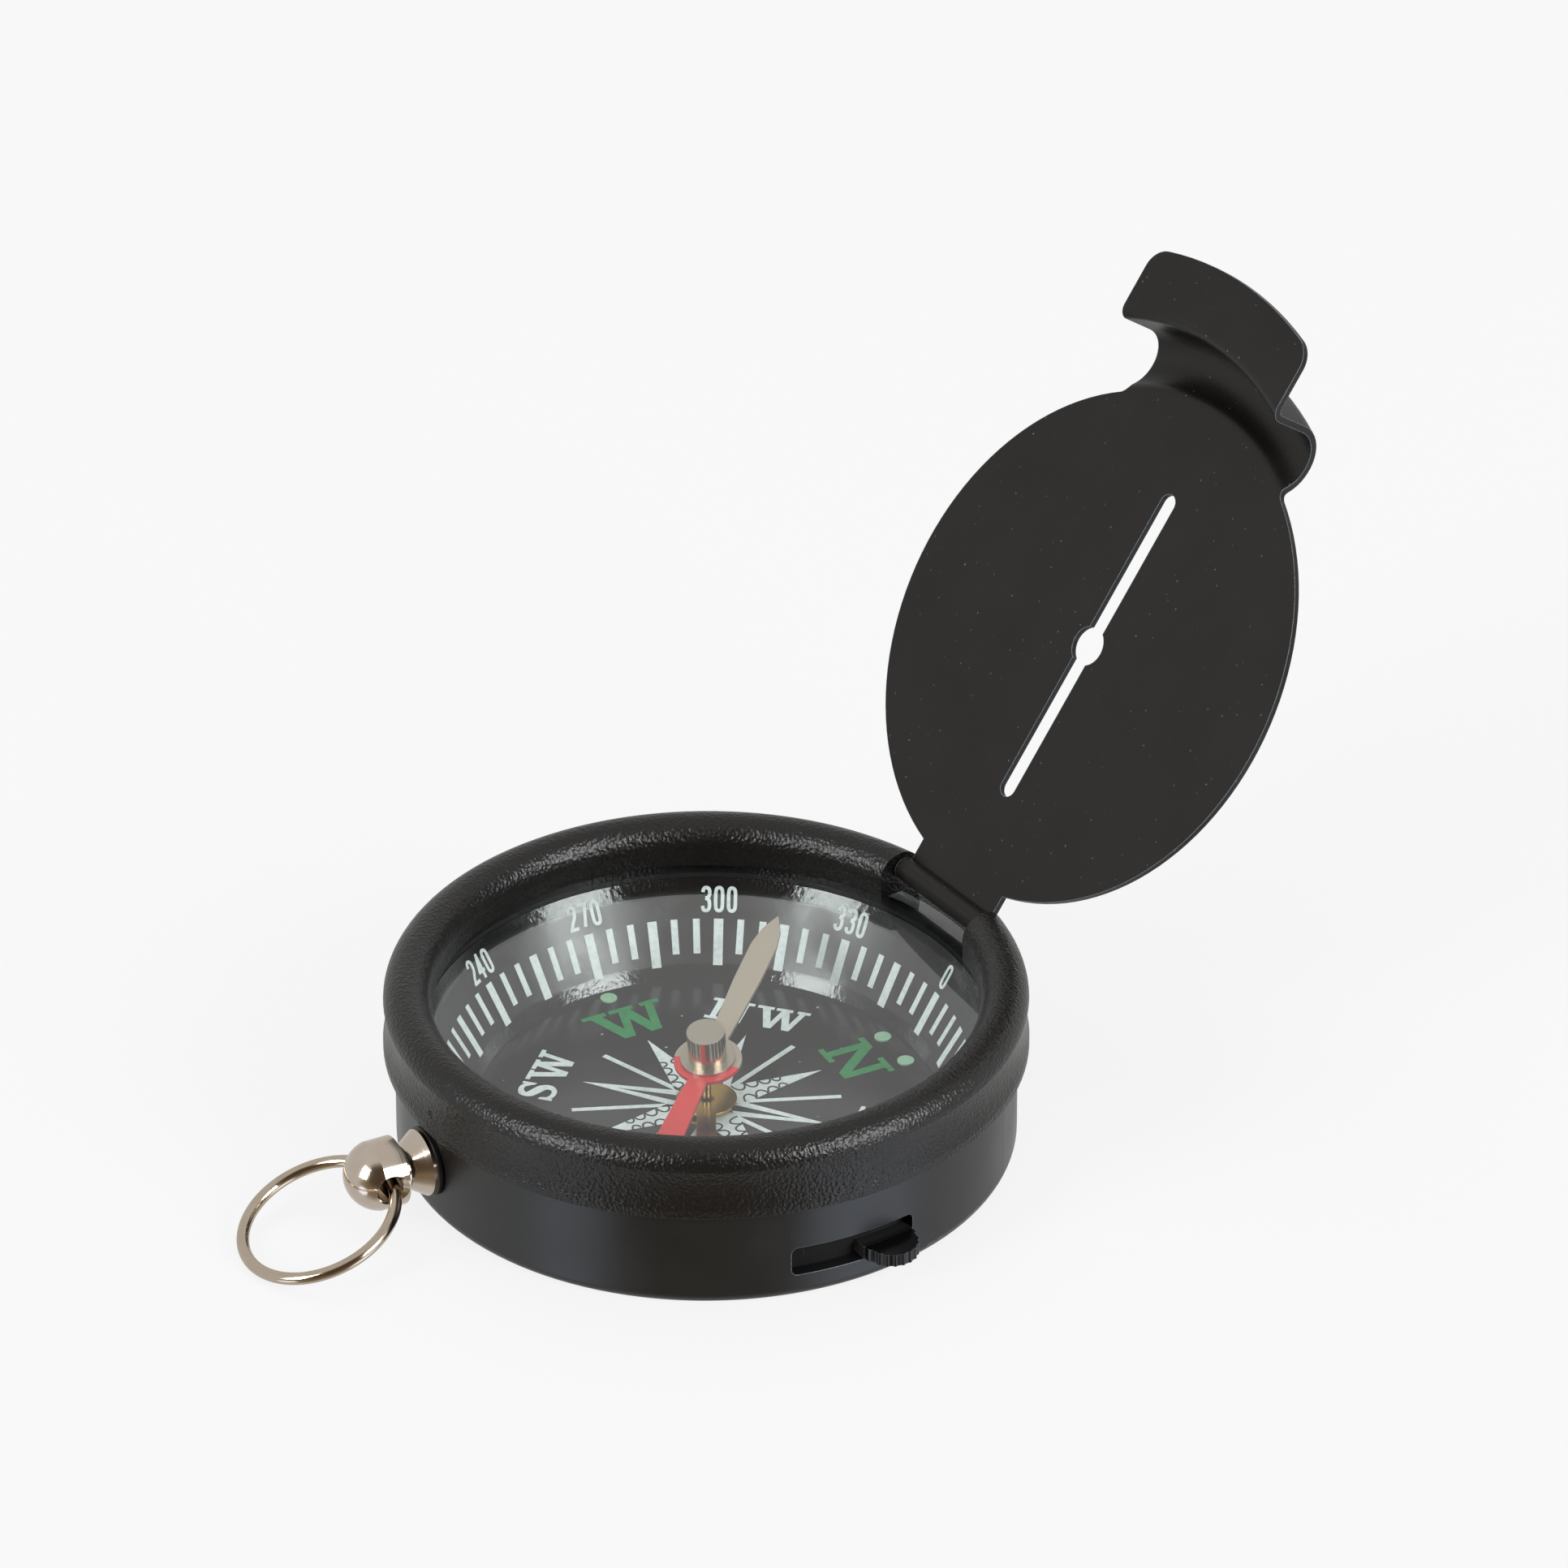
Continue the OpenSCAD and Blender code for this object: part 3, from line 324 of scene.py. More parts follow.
# The varnish starts 18.35 to 18.55 mm from the middle and ends 21.15 to 21.5 mm from it.
foot = add(tree, "MapRange", {"Value": radius, "From Min": 18.55 * MM, "From Max": 18.35 * MM})
top = add(tree, "MapRange", {"Value": radius, "From Min": 21.15 * MM, "From Max": 21.5 * MM})
bare = add(tree, "Math", {0: foot, 1: top}, operation="MAXIMUM")
varnish = add(tree, "MapRange", {"Value": swell, "From Min": 0.35, "From Max": 0.65, "To Min": 0.28,
                                 "To Max": 0.42})
gloss = add(tree, "Mix", {0: bare, 2: varnish, 3: 0.05}, data_type="FLOAT")
rough_skin = add(tree, "MapRange", {"Value": bare, "To Min": 0.3})
relief = add(tree, "Bump", {"Height": ripple, "Strength": rough_skin, "Distance": 0.035 * MM})
surface = add(tree, "BsdfPrincipled", {"Base Color": ground, "Roughness": gloss, "Normal": relief,
                                       "Specular IOR Level": 0.9})
add(tree, "OutputMaterial", {"Surface": surface})
dress(moulding, "scale_ring")

# %% [markdown]
# The slide is moulded in black plastic. Its band inside the wall stays rough from the spark-eroded
# mould and looks nearly black in the slot. Fingers have polished the thumb piece outside, so its ribs
# glint. One shader holds both, split by the distance from the dial's centre.

# %% Slide finish
plastic, tree = blank("spark_finished_plastic")
where = add(tree, "TexCoord", out="Object")
grain = add(tree, "TexNoise", {"Vector": where, "Scale": every_mm(0.12), "Detail": 3.0})
ground = add(tree, "Mix", {0: grain, 6: tint("#050505"), 7: tint("#0b0b0b")}, out=2, data_type="RGBA")
flat = add(tree, "VectorMath", {0: where, 1: (1, 1, 0)}, operation="MULTIPLY")
radius = add(tree, "VectorMath", {0: flat}, out="Value", operation="LENGTH")
# The wall of the cup ends 24.1 mm from the middle: rough up to it, polished beyond it.
gloss = add(tree, "MapRange", {"Value": radius, "From Min": 23.6 * MM, "From Max": 24.4 * MM,
                               "To Min": 0.9, "To Max": 0.2})
# A grey line along the edges: rubbed plastic and a painted edge highlight.
edge, worn = worn_edge(tree, 0.08)
wear_and_highlight_share = add(tree, "Math", {0: worn, 1: 0.25}, operation="MULTIPLY")
colour = add(tree, "Mix", {0: wear_and_highlight_share, 6: ground, 7: tint("#6a6e72")}, out=2, data_type="RGBA")
relief = add(tree, "Bump", {"Height": grain, "Strength": 0.3, "Distance": 0.01 * MM, "Normal": edge})
surface = add(tree, "BsdfPrincipled", {"Base Color": colour, "Roughness": gloss, "Normal": relief,
                                       "Specular IOR Level": 0.35})
add(tree, "OutputMaterial", {"Surface": surface})
dress(plastic, "lock_slide")

# %% [markdown]
# ## Metals
# The swivel, the ring and the needle's cap are nickel plated, a warm white metal that mirrors the
# room. The lever is brass gone brown, the bush fresh turned brass, the pins ground steel. A metal's
# colour is in its reflection, so all of them use the metallic shader with its usual IOR, and fine
# tool marks in the relief break the mirror. On the cap the flat top is brushed and the side
# polished, and the shader tells them apart by which way the surface faces. The lever's sheared edges
# are golden through the edge mask: brass where the tarnish is worn off, and a painted highlight
# where the edges catch the lamps.

# %% Metal finishes
def metal_finish(name, worn, bright, rough, mark_mm, stretch=(1, 1, 1), depth=0.1, brushed_top=None,
                 arris=None):
    """A metal with two near colours, a roughness, and tool marks every mark_mm, stretched along the axes.

    brushed_top is another roughness for the faces that look up, and arris another colour for the
    edges: worn metal and a painted highlight in one.
    """
    material, tree = blank(name)
    where = add(tree, "TexCoord", out="Object")
    drawn = add(tree, "Mapping", {"Vector": where, "Scale": Vector(stretch)})
    marks = add(tree, "TexNoise", {"Vector": drawn, "Scale": every_mm(mark_mm), "Detail": 3.0})
    stain = add(tree, "TexNoise", {"Vector": where, "Scale": every_mm(1.5), "Detail": 3.0})
    colour = add(tree, "Mix", {0: stain, 6: tint(worn), 7: tint(bright)}, out=2, data_type="RGBA")
    gloss = add(tree, "MapRange", {"Value": stain, **NOISE_SPAN, "To Min": rough * 0.8,
                                   "To Max": rough * 1.25})
    edge, wear_and_highlight_share = worn_edge(tree, 0.1 if arris else 0.04)
    if arris:
        colour = add(tree, "Mix", {0: wear_and_highlight_share, 6: colour, 7: tint(arris)}, out=2, data_type="RGBA")
    if brushed_top:
        facing = add(tree, "SeparateXYZ", {0: add(tree, "TexCoord", out="Normal")}, out="Z")
        top = add(tree, "MapRange", {"Value": facing, "From Min": 0.9, "From Max": 0.98})
        gloss = add(tree, "Mix", {0: top, 2: gloss, 3: brushed_top}, data_type="FLOAT")
    relief = add(tree, "Bump", {"Height": marks, "Strength": depth, "Distance": 0.01 * MM, "Normal": edge})
    surface = add(tree, "BsdfPrincipled", {"Base Color": colour, "Roughness": gloss, "Metallic": 1.0,
                                           "Normal": relief})
    add(tree, "OutputMaterial", {"Surface": surface})
    return material


# Turned nickel-plated brass: warm and bright, with fine rings round the swivel's axis.
dress(metal_finish("turned_nickel_plate", "#bfb1a1", "#d4c8ba", rough=0.13, mark_mm=0.26,
                   stretch=(0.02, 1, 0.02), depth=0.6), "post_cone", "swivel_head")
# Drawn nickel-plated wire: a clean mirror with a few pits.
dress(metal_finish("drawn_nickel_plate", "#b5a591", "#cdbfae", rough=0.12, mark_mm=0.25, depth=0.15),
      "lanyard_ring")
# The same plate on the cap, brushed on top: a matt beige disc over a mirror side.
dress(metal_finish("brushed_nickel_plate", "#bcae9f", "#cfc3b6", rough=0.17, mark_mm=0.07,
                   stretch=(0.2, 0.2, 1), depth=0.04, brushed_top=0.38), "needle_cap")
# Ground steel: grey with fine scratches.
dress(metal_finish("ground_steel", "#8f8d8a", "#a9a6a2", rough=0.25, mark_mm=0.05),
      "pivot_pin", "hinge_pin", "lever_pin", "swivel_clip")
# Turned brass: yellow and clean.
dress(metal_finish("turned_brass", "#b8924a", "#d3ad62", rough=0.18, mark_mm=0.06), "pivot_bush")
# Stamped brass left in the air: brown on the flat, golden along the edges, where the tarnish is
# worn off and a highlight is painted.
dress(metal_finish("tarnished_brass", "#a67f3c", "#d4a850", rough=0.20, mark_mm=0.3, depth=0.2,
                   arris="#f4c862"), "lock_lever")

# %% [markdown]
# ## The needle
# The needle is stamped from thin steel. The half that points south is bare and looks warm grey,
# and the other half, with the front half of the hub's ring, is painted red. The paint could be a
# second sheet of mesh, but it is thinner than that would be, so one shader holds both halves and
# splits them on a line through the pivot, square to the needle.

# %% Needle
NEEDLE_AZ = math.radians(133.5)  # the bare end's direction at rest
needle_finish, tree = blank("stamped_steel_half_lacquered")
where = add(tree, "TexCoord", out="Object")
along = add(tree, "VectorMath", {0: where, 1: (math.cos(NEEDLE_AZ), math.sin(NEEDLE_AZ), 0)}, out="Value",
            operation="DOT_PRODUCT")
bare = add(tree, "MapRange", {"Value": along, "From Min": -0.02 * MM, "From Max": 0.02 * MM})
grain = add(tree, "TexNoise", {"Vector": where, "Scale": every_mm(0.15), "Detail": 3.0})
steel = add(tree, "Mix", {0: grain, 6: tint("#aa9c8e"), 7: tint("#bbad9e")}, out=2, data_type="RGBA")
red = add(tree, "Mix", {0: grain, 6: tint("#c42226"), 7: tint("#d43034")}, out=2, data_type="RGBA")
colour = add(tree, "Mix", {0: bare, 6: red, 7: steel}, out=2, data_type="RGBA")
metal = add(tree, "MapRange", {"Value": bare, "To Max": 0.55})
gloss = add(tree, "MapRange", {"Value": bare, "To Min": 0.30, "To Max": 0.48})
edge = add(tree, "Bevel", {"Radius": 0.03 * MM}, samples=4)
relief = add(tree, "Bump", {"Height": grain, "Strength": 0.15, "Distance": 0.006 * MM, "Normal": edge})
surface = add(tree, "BsdfPrincipled", {"Base Color": colour, "Roughness": gloss, "Metallic": metal,
                                       "Normal": relief})
add(tree, "OutputMaterial", {"Surface": surface})
dress(needle_finish, "needle")

# %% [markdown]
# ## Jewel and luminous dots
# The bearing is a small synthetic ruby under the cap, and the dots are holes filled with a pale
# green glowing compound, chalky and a little uneven.

# %% Jewel and dots
ruby, tree = blank("polished_synthetic_ruby")
where = add(tree, "TexCoord", out="Object")
veins = add(tree, "TexNoise", {"Vector": where, "Scale": every_mm(0.3), "Detail": 2.0})
colour = add(tree, "Mix", {0: veins, 6: tint("#8e1030"), 7: tint("#c01c48")}, out=2, data_type="RGBA")
surface = add(tree, "BsdfPrincipled", {"Base Color": colour, "Roughness": 0.06, "IOR": 1.76,
                                       "Transmission Weight": 0.5})
add(tree, "OutputMaterial", {"Surface": surface})
dress(ruby, "jewel")

glow_fill, tree = blank("luminous_compound")
where = add(tree, "TexCoord", out="Object")
chalk = add(tree, "TexNoise", {"Vector": where, "Scale": every_mm(0.25), "Detail": 3.0})
colour = add(tree, "Mix", {0: chalk, 6: tint("#86b392"), 7: tint("#aacdb0")}, out=2, data_type="RGBA")
relief = add(tree, "Bump", {"Height": chalk, "Strength": 0.3, "Distance": 0.02 * MM})
surface = add(tree, "BsdfPrincipled", {"Base Color": colour, "Roughness": 0.5, "Normal": relief})
add(tree, "OutputMaterial", {"Surface": surface})
dress(glow_fill, "lume_dots")

# %% [markdown]
# ## Ink
# Dial and degree ring are screen printed in a slightly green white and in green. The film is
# opaque and even, with small thin spots. It is built as mesh 0.02 mm thick, a little thicker than
# real ink, so that it stays clear of the surface under it.

# %% Ink finishes
def screen_ink(name, thin, full):
    """Screen printing ink whose colour varies a little with its thickness."""
    material, tree = blank(name)
    where = add(tree, "TexCoord", out="Object")
    film = add(tree, "TexNoise", {"Vector": where, "Scale": every_mm(0.4), "Detail": 4.0})
    thick = add(tree, "MapRange", {"Value": film, "From Min": 0.3, "From Max": 0.55})
    colour = add(tree, "Mix", {0: thick, 6: tint(thin), 7: tint(full)}, out=2, data_type="RGBA")
    gloss = add(tree, "MapRange", {"Value": film, "To Min": 0.38, "To Max": 0.55})
    surface = add(tree, "BsdfPrincipled", {"Base Color": colour, "Roughness": gloss})
    add(tree, "OutputMaterial", {"Surface": surface})
    return material


white_ink = screen_ink("white_screen_ink", "#ced6d5", "#e2e8e7")
green_ink = screen_ink("green_screen_ink", "#15703c", "#1f8548")
black_ink = screen_ink("black_screen_ink", "#161514", "#1d1c1b")
print("inks:", ", ".join(ink.name for ink in (white_ink, green_ink, black_ink)))

# %% [markdown]
# ## From a layout to a film of ink
# Every mark is first laid out flat, in millimetres: x runs clockwise along the ring, y outwards. A
# patch is a filled outline, and a stroke is a ribbon with a left and a right side. A print then lays
# such shapes on the part and gives the film its thickness. A Solidify modifier could do that, but a
# film needs no face against the part, so its top and sides are written down here. Where two strokes
# cross, tops at one height would flicker, so each lies a micron above the last, seven in turn.

# %% Patches and prints
FILM = 0.02  # mm of ink
STEP, STEPS = 0.001, 7  # mm between the tops of seven shapes in turn


def patch(points):
    """A filled outline, its points put in counter-clockwise order."""
    area = sum(a[0] * b[1] - b[0] * a[1] for a, b in zip(points, points[1:] + points[:1]))
    return {"outline": points if area > 0 else points[::-1]}


def bar(x0, y0, x1, y1):
    """A filled rectangle."""
    return patch([(x0, y0), (x1, y0), (x1, y1), (x0, y1)])


def film_of(shape, place, top, foot, first):
    """The points and faces of one shape's film. Its first point gets the number first."""
    if "outline" in shape:
        ring = shape["outline"]
        n = len(ring)
        verts = [place(x, y, top) for x, y in ring] + [place(x, y, foot) for x, y in ring]
        faces = [[first + i for i in range(n)]]
        for i in range(n):
            j = (i + 1) % n
            faces.append([first + i, first + n + i, first + n + j, first + j])
        return verts, faces
    n = len(shape["left"])
    verts = [place(x, y, h) for h in (top, foot) for side in ("left", "right") for x, y in shape[side]]
    faces = []
    for i in range(n if shape["closed"] else n - 1):
        j = (i + 1) % n
        li, lj, ri, rj = first + i, first + j, first + n + i, first + n + j
        faces += [[ri, rj, lj, li], [li, lj, lj + 2 * n, li + 2 * n], [rj, ri, ri + 2 * n, rj + 2 * n]]
    return verts, faces


def print_on(name, placed, material, foot=0.006):
    """Makes one mesh from (shape, place) pairs, where place(x, y, height) gives a point on the part in mm."""
    verts, faces = [], []
    for k, (shape, place) in enumerate(placed):
        more_verts, more_faces = film_of(shape, place, foot + FILM + STEP * (k % STEPS), foot, len(verts))
        verts += more_verts
        faces += more_faces
    mesh = bpy.data.meshes.new(name)
    mesh.from_pydata([[c * MM for c in v] for v in verts], [], faces)
    mesh.materials.append(material)
    piece = bpy.data.objects.new(name, mesh)
    scene.collection.objects.link(piece)
    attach(piece, "case_body")
    print(name, len(placed), "shapes,", len(faces), "faces")


print("ink", FILM, "to", round(FILM + STEP * (STEPS - 1), 3), "mm thick")

# %% [markdown]
# ## Where the print lies
# The dial is flat at 2.5 mm. The degree ring's cone rises from radius 17.9 mm on the dial to
# 21.95 mm under the gasket, at about 59 degrees. A bearing runs clockwise from north, as on any
# compass, and the tops of all marks point outwards.

# %% Dial and cone
DIAL_Z = 2.5
FOOT_R, FOOT_Z, RIM_R, RIM_Z = 17.9, 2.5, 21.95, 9.3
SLANT = math.hypot(RIM_R - FOOT_R, RIM_Z - FOOT_Z)
LEAN_R, LEAN_Z = (RIM_R - FOOT_R) / SLANT, (RIM_Z - FOOT_Z) / SLANT


def on_dial(bearing):
    """Lays a layout on the dial, y outwards from the centre."""
    s, c = math.sin(math.radians(bearing)), math.cos(math.radians(bearing))
    return lambda x, y, h: (y * s + x * c, y * c - x * s, DIAL_Z + h)


def on_cone(bearing):
    """Lays a layout on the degree ring, y up its slope from the foot."""
    def place(x, y, h):
        r = FOOT_R + y * LEAN_R
        a = math.radians(bearing) + x / r
        r -= h * LEAN_Z
        return (r * math.sin(a), r * math.cos(a), FOOT_Z + y * LEAN_Z + h * LEAN_R)
    return place


print("slope of the degree ring", round(math.degrees(math.atan2(LEAN_Z, LEAN_R)), 1), "degrees,",
      round(SLANT, 2), "mm long")

# %% [markdown]
# ## Degree marks
# A mark stands every 5 degrees, 0.54 mm wide, and every third one is wider and longer. All share
# their outer end. They are straight strips up the slope, so four corners each are enough.

# %% Ticks
TICK_TOP = 4.69
STRONG, PLAIN = (1.02, 0.375), (1.95, 0.27)  # where a mark starts on the slope, and half its width
ticks = []
for bearing in range(0, 360, 5):
    start, half = STRONG if bearing % 15 == 0 else PLAIN
    ticks.append((bar(-half, start, half, TICK_TOP), on_cone(bearing)))
print_on("degree_ticks", ticks, white_ink)

# %% [markdown]
# ## A pen
# The digits are strokes of even width, and the S of the letters swells. Text objects would be
# quicker, but a tall narrow digit squeezed from a wide one has thin stems, so a pen draws them. It
# moves along a soft curve through a few points and leaves a ribbon.

# %% Curve and pen
def smooth(points, steps=6, closed=False):
    """A soft curve through points (Catmull-Rom), each a tuple of any length."""
    n = len(points)
    out = []
    for i in range(n if closed else n - 1):
        if closed:
            four = [points[(i + k) % n] for k in (-1, 0, 1, 2)]
        else:
            four = [points[min(max(i + k, 0), n - 1)] for k in (-1, 0, 1, 2)]
        for s in range(steps):
            t = s / steps
            out.append(tuple(
                0.5 * (2 * b + (c - a) * t + (2 * a - 5 * b + 4 * c - d) * t * t
                       + (3 * b - a - 3 * c + d) * t ** 3)
                for a, b, c, d in zip(*four)))
    if not closed:
        out.append(points[-1])
    return out


def pen(path, width=None, closed=False):
    """A ribbon along a path. A third number in a point is the pen's width there."""
    n = len(path)
    left, right_side = [], []
    for i, point in enumerate(path):
        a = path[i - 1] if closed or i else point
        b = path[(i + 1) % n] if closed or i < n - 1 else point
        dx, dy = b[0] - a[0], b[1] - a[1]
        half = (point[2] if len(point) > 2 else width) / 2 / math.hypot(dx, dy)
        left.append((point[0] - dy * half, point[1] + dx * half))
        right_side.append((point[0] + dy * half, point[1] - dx * half))
    return {"left": left, "right": right_side, "closed": closed}


def moved(shape, dx=0.0, dy=0.0, sx=1.0, sy=1.0):
    """A shape scaled, then moved."""
    change = {}
    for key, value in shape.items():
        change[key] = value if key == "closed" else [(x * sx + dx, y * sy + dy) for x, y in value]
    return change


print("a soft corner of 3 points becomes", len(smooth([(0, 0), (0, 1), (1, 1)])), "points")

# %% [markdown]
# ## Degree numerals
# Plain narrow digits stand every 30 degrees above the marks, 2.1 mm tall and 0.8 mm wide, drawn
# with a pen of 0.28 mm. The table gives each digit's strokes in a box from 0 to 1. The 9 is the 6
# turned round.

# %% Digits
SIX = [("curve", [(0.97, 0.8), (0.85, 0.95), (0.5, 1), (0.12, 0.9), (0, 0.6), (0, 0.3)]),
       ("loop", [(0.5, 0.58), (0.93, 0.5), (1, 0.28), (0.9, 0.06), (0.5, 0), (0.1, 0.06), (0, 0.28),
                 (0.07, 0.5)])]
DIGITS = {
    "0": [("loop", [(0.5, 1), (0.93, 0.9), (1, 0.5), (0.93, 0.1), (0.5, 0), (0.07, 0.1), (0, 0.5),
                    (0.07, 0.9)])],
    "1": [("line", [(0.55, 0), (0.55, 1)]), ("line", [(0.6, 0.97), (0.1, 0.78)])],
    "2": [("curve", [(0, 0.76), (0.1, 0.93), (0.5, 1), (0.92, 0.92), (1, 0.74), (0.85, 0.5), (0.35, 0.24),
                     (0.1, 0)]),
          ("line", [(0, 0), (1, 0)])],
    "3": [("curve", [(0, 0.8), (0.12, 0.95), (0.5, 1), (0.9, 0.93), (1, 0.76), (0.85, 0.6), (0.4, 0.54)]),
          ("curve", [(0.4, 0.54), (0.85, 0.47), (1, 0.28), (0.9, 0.07), (0.5, 0), (0.12, 0.05), (0, 0.2)])],
    "4": [("line", [(0.72, 0), (0.72, 1)]), ("line", [(0.72, 1), (0, 0.3)]),
          ("line", [(0, 0.28), (1, 0.28)])],
    "5": [("line", [(0.95, 1), (0.1, 1)]), ("line", [(0.12, 1), (0.08, 0.55)]),
          ("curve", [(0.08, 0.55), (0.45, 0.64), (0.88, 0.56), (1, 0.32), (0.88, 0.07), (0.5, 0),
                     (0.12, 0.05), (0, 0.2)])],
    "6": SIX,
    "7": [("line", [(0, 1), (1, 1)]), ("line", [(1, 1), (0.4, 0)])],
    "8": [("loop", [(0.5, 1), (0.88, 0.93), (0.92, 0.77), (0.8, 0.6), (0.5, 0.54), (0.2, 0.6),
                    (0.08, 0.77), (0.12, 0.93)]),
          ("loop", [(0.5, 0.54), (0.92, 0.45), (1, 0.26), (0.9, 0.06), (0.5, 0), (0.1, 0.06), (0, 0.26),
                    (0.08, 0.45)])],
    "9": [(kind, [(1 - x, 1 - y) for x, y in points]) for kind, points in SIX]}
print("strokes of each digit:", {digit: len(strokes) for digit, strokes in DIGITS.items()})

# %% Numerals
DIGIT_H, DIGIT_W, DIGIT_GAP, PEN = 2.09, 0.82, 0.2, 0.28
NUMERAL_FOOT = 5.18


def number(text):
    """The ribbons of a number, centred on x = 0 and standing on y = 0."""
    shapes = []
    start = -(len(text) * DIGIT_W + (len(text) - 1) * DIGIT_GAP) / 2
    for k, digit in enumerate(text):
        for kind, points in DIGITS[digit]:
            box = [(start + k * (DIGIT_W + DIGIT_GAP) + PEN / 2 + x * (DIGIT_W - PEN),
                    PEN / 2 + y * (DIGIT_H - PEN)) for x, y in points]
            if kind == "line":
                (ax, ay), (bx, by) = box
                if min(abs(bx - ax), abs(by - ay)) < 0.01:  # an upright or level stroke fills its box
                    d = math.hypot(bx - ax, by - ay) / (PEN / 2)
                    ex, ey = (bx - ax) / d, (by - ay) / d
                    ax, ay, bx, by = ax - ex, ay - ey, bx + ex, by + ey
                shapes.append(pen([(ax, ay), ((ax + bx) / 2, (ay + by) / 2), (bx, by)], PEN))
            else:
                shapes.append(pen(smooth(box, closed=kind == "loop"), PEN, closed=kind == "loop"))
    return shapes


numerals = []
for bearing in range(0, 360, 30):
    for shape in number(str(bearing)):
        numerals.append((moved(shape, dy=NUMERAL_FOOT), on_cone(bearing)))
print_on("degree_numerals", numerals, white_ink)

# %% [markdown]
# ## Letters
# The eight directions are lettered in a bold face with slab serifs: the four main ones large and
# green, the four between smaller, narrower and white. Each letter is a few filled outlines, and for
# the S one swelling stroke, in a box one high, thick and thin as an engraver would cut them.

# %% Letters
curve_of_s = smooth([(0.80, 0.76, 0.13), (0.62, 0.93, 0.13), (0.40, 0.94, 0.15), (0.20, 0.84, 0.21),
                     (0.20, 0.67, 0.25), (0.44, 0.54, 0.27), (0.68, 0.42, 0.27), (0.76, 0.24, 0.24),
                     (0.62, 0.08, 0.15), (0.38, 0.05, 0.13), (0.16, 0.12, 0.13), (0.09, 0.28, 0.12)])
LETTERS = {
    "N": (1.42, [bar(0.17, 0.05, 0.37, 0.95), bar(0.0, 0.88, 0.44, 1.0), bar(0.0, 0.0, 0.56, 0.12),
                 patch([(0.12, 1.0), (0.42, 1.0), (1.24, 0.0), (0.97, 0.0)]),
                 bar(1.04, 0.02, 1.24, 0.95), bar(0.86, 0.88, 1.42, 1.0)]),
    "E": (1.15, [bar(0.16, 0.05, 0.46, 0.95), bar(0.0, 0.88, 1.05, 1.0), bar(0.0, 0.0, 1.08, 0.12),
                 patch([(0.93, 1.0), (1.06, 1.0), (1.04, 0.66), (0.95, 0.66)]),
                 patch([(0.96, 0.0), (1.10, 0.0), (1.15, 0.36), (1.05, 0.36)]),
                 bar(0.40, 0.44, 0.72, 0.57), bar(0.65, 0.31, 0.77, 0.70)]),
    "S": (0.92, [pen(curve_of_s), patch([(0.76, 1.0), (0.88, 1.0), (0.88, 0.62), (0.76, 0.68)]),
                 patch([(0.02, 0.0), (0.14, 0.0), (0.14, 0.34), (0.02, 0.38)])]),
    "W": (1.80, [patch([(0.14, 1.0), (0.41, 1.0), (0.77, 0.0), (0.52, 0.0)]),
                 patch([(0.58, 0.0), (0.77, 0.0), (1.03, 0.9), (0.84, 0.9)]),
                 patch([(0.80, 1.0), (1.07, 1.0), (1.39, 0.0), (1.14, 0.0)]),
                 patch([(1.20, 0.0), (1.39, 0.0), (1.68, 1.0), (1.49, 1.0)]),
                 bar(0.0, 0.88, 0.56, 1.0), bar(0.64, 0.88, 1.20, 1.0), bar(1.36, 0.88, 1.80, 1.0)])}
print("outlines of each letter:", {letter: len(shapes) for letter, (_, shapes) in LETTERS.items()})

# %% Words
GREEN_Y, WHITE_Y = 11.1, 11.6  # how far the letters' feet stand from the middle


def word(text, tall, narrow, gap):
    """The letters of a word, centred on x = 0."""
    wide = [LETTERS[c][0] * tall * narrow for c in text]
    x = -(sum(wide) + gap * (len(text) - 1)) / 2
    shapes = []
    for c, w in zip(text, wide):
        shapes += [moved(s, dx=x, sx=tall * narrow, sy=tall) for s in LETTERS[c][1]]
        x += w + gap
    return shapes


green, white = [], []
for text, bearing in (("N", 0), ("E", 90), ("S", 180), ("W", 270)):
    green += [(moved(s, dy=GREEN_Y), on_dial(bearing)) for s in word(text, tall=4.05, narrow=0.92, gap=0)]
for text, bearing in (("NE", 45), ("SE", 135), ("SW", 225), ("NW", 315)):
    white += [(moved(s, dy=WHITE_Y), on_dial(bearing)) for s in word(text, tall=2.95, narrow=0.81, gap=0.25)]
print_on("letters_green", green, green_ink)
print_on("letters_white", white, white_ink)

# %% [markdown]
# ## The rose
# The traditional rose has sixteen rays: four broad spikes with scalloped hatching, four split
# spikes and eight thin bars. All are printed in white, and the scallops are black arcs on top, as an
# engraver's hatching would leave them. Small circles would do from afar, but up close one sees that
# each arc is open at the ray's edge.

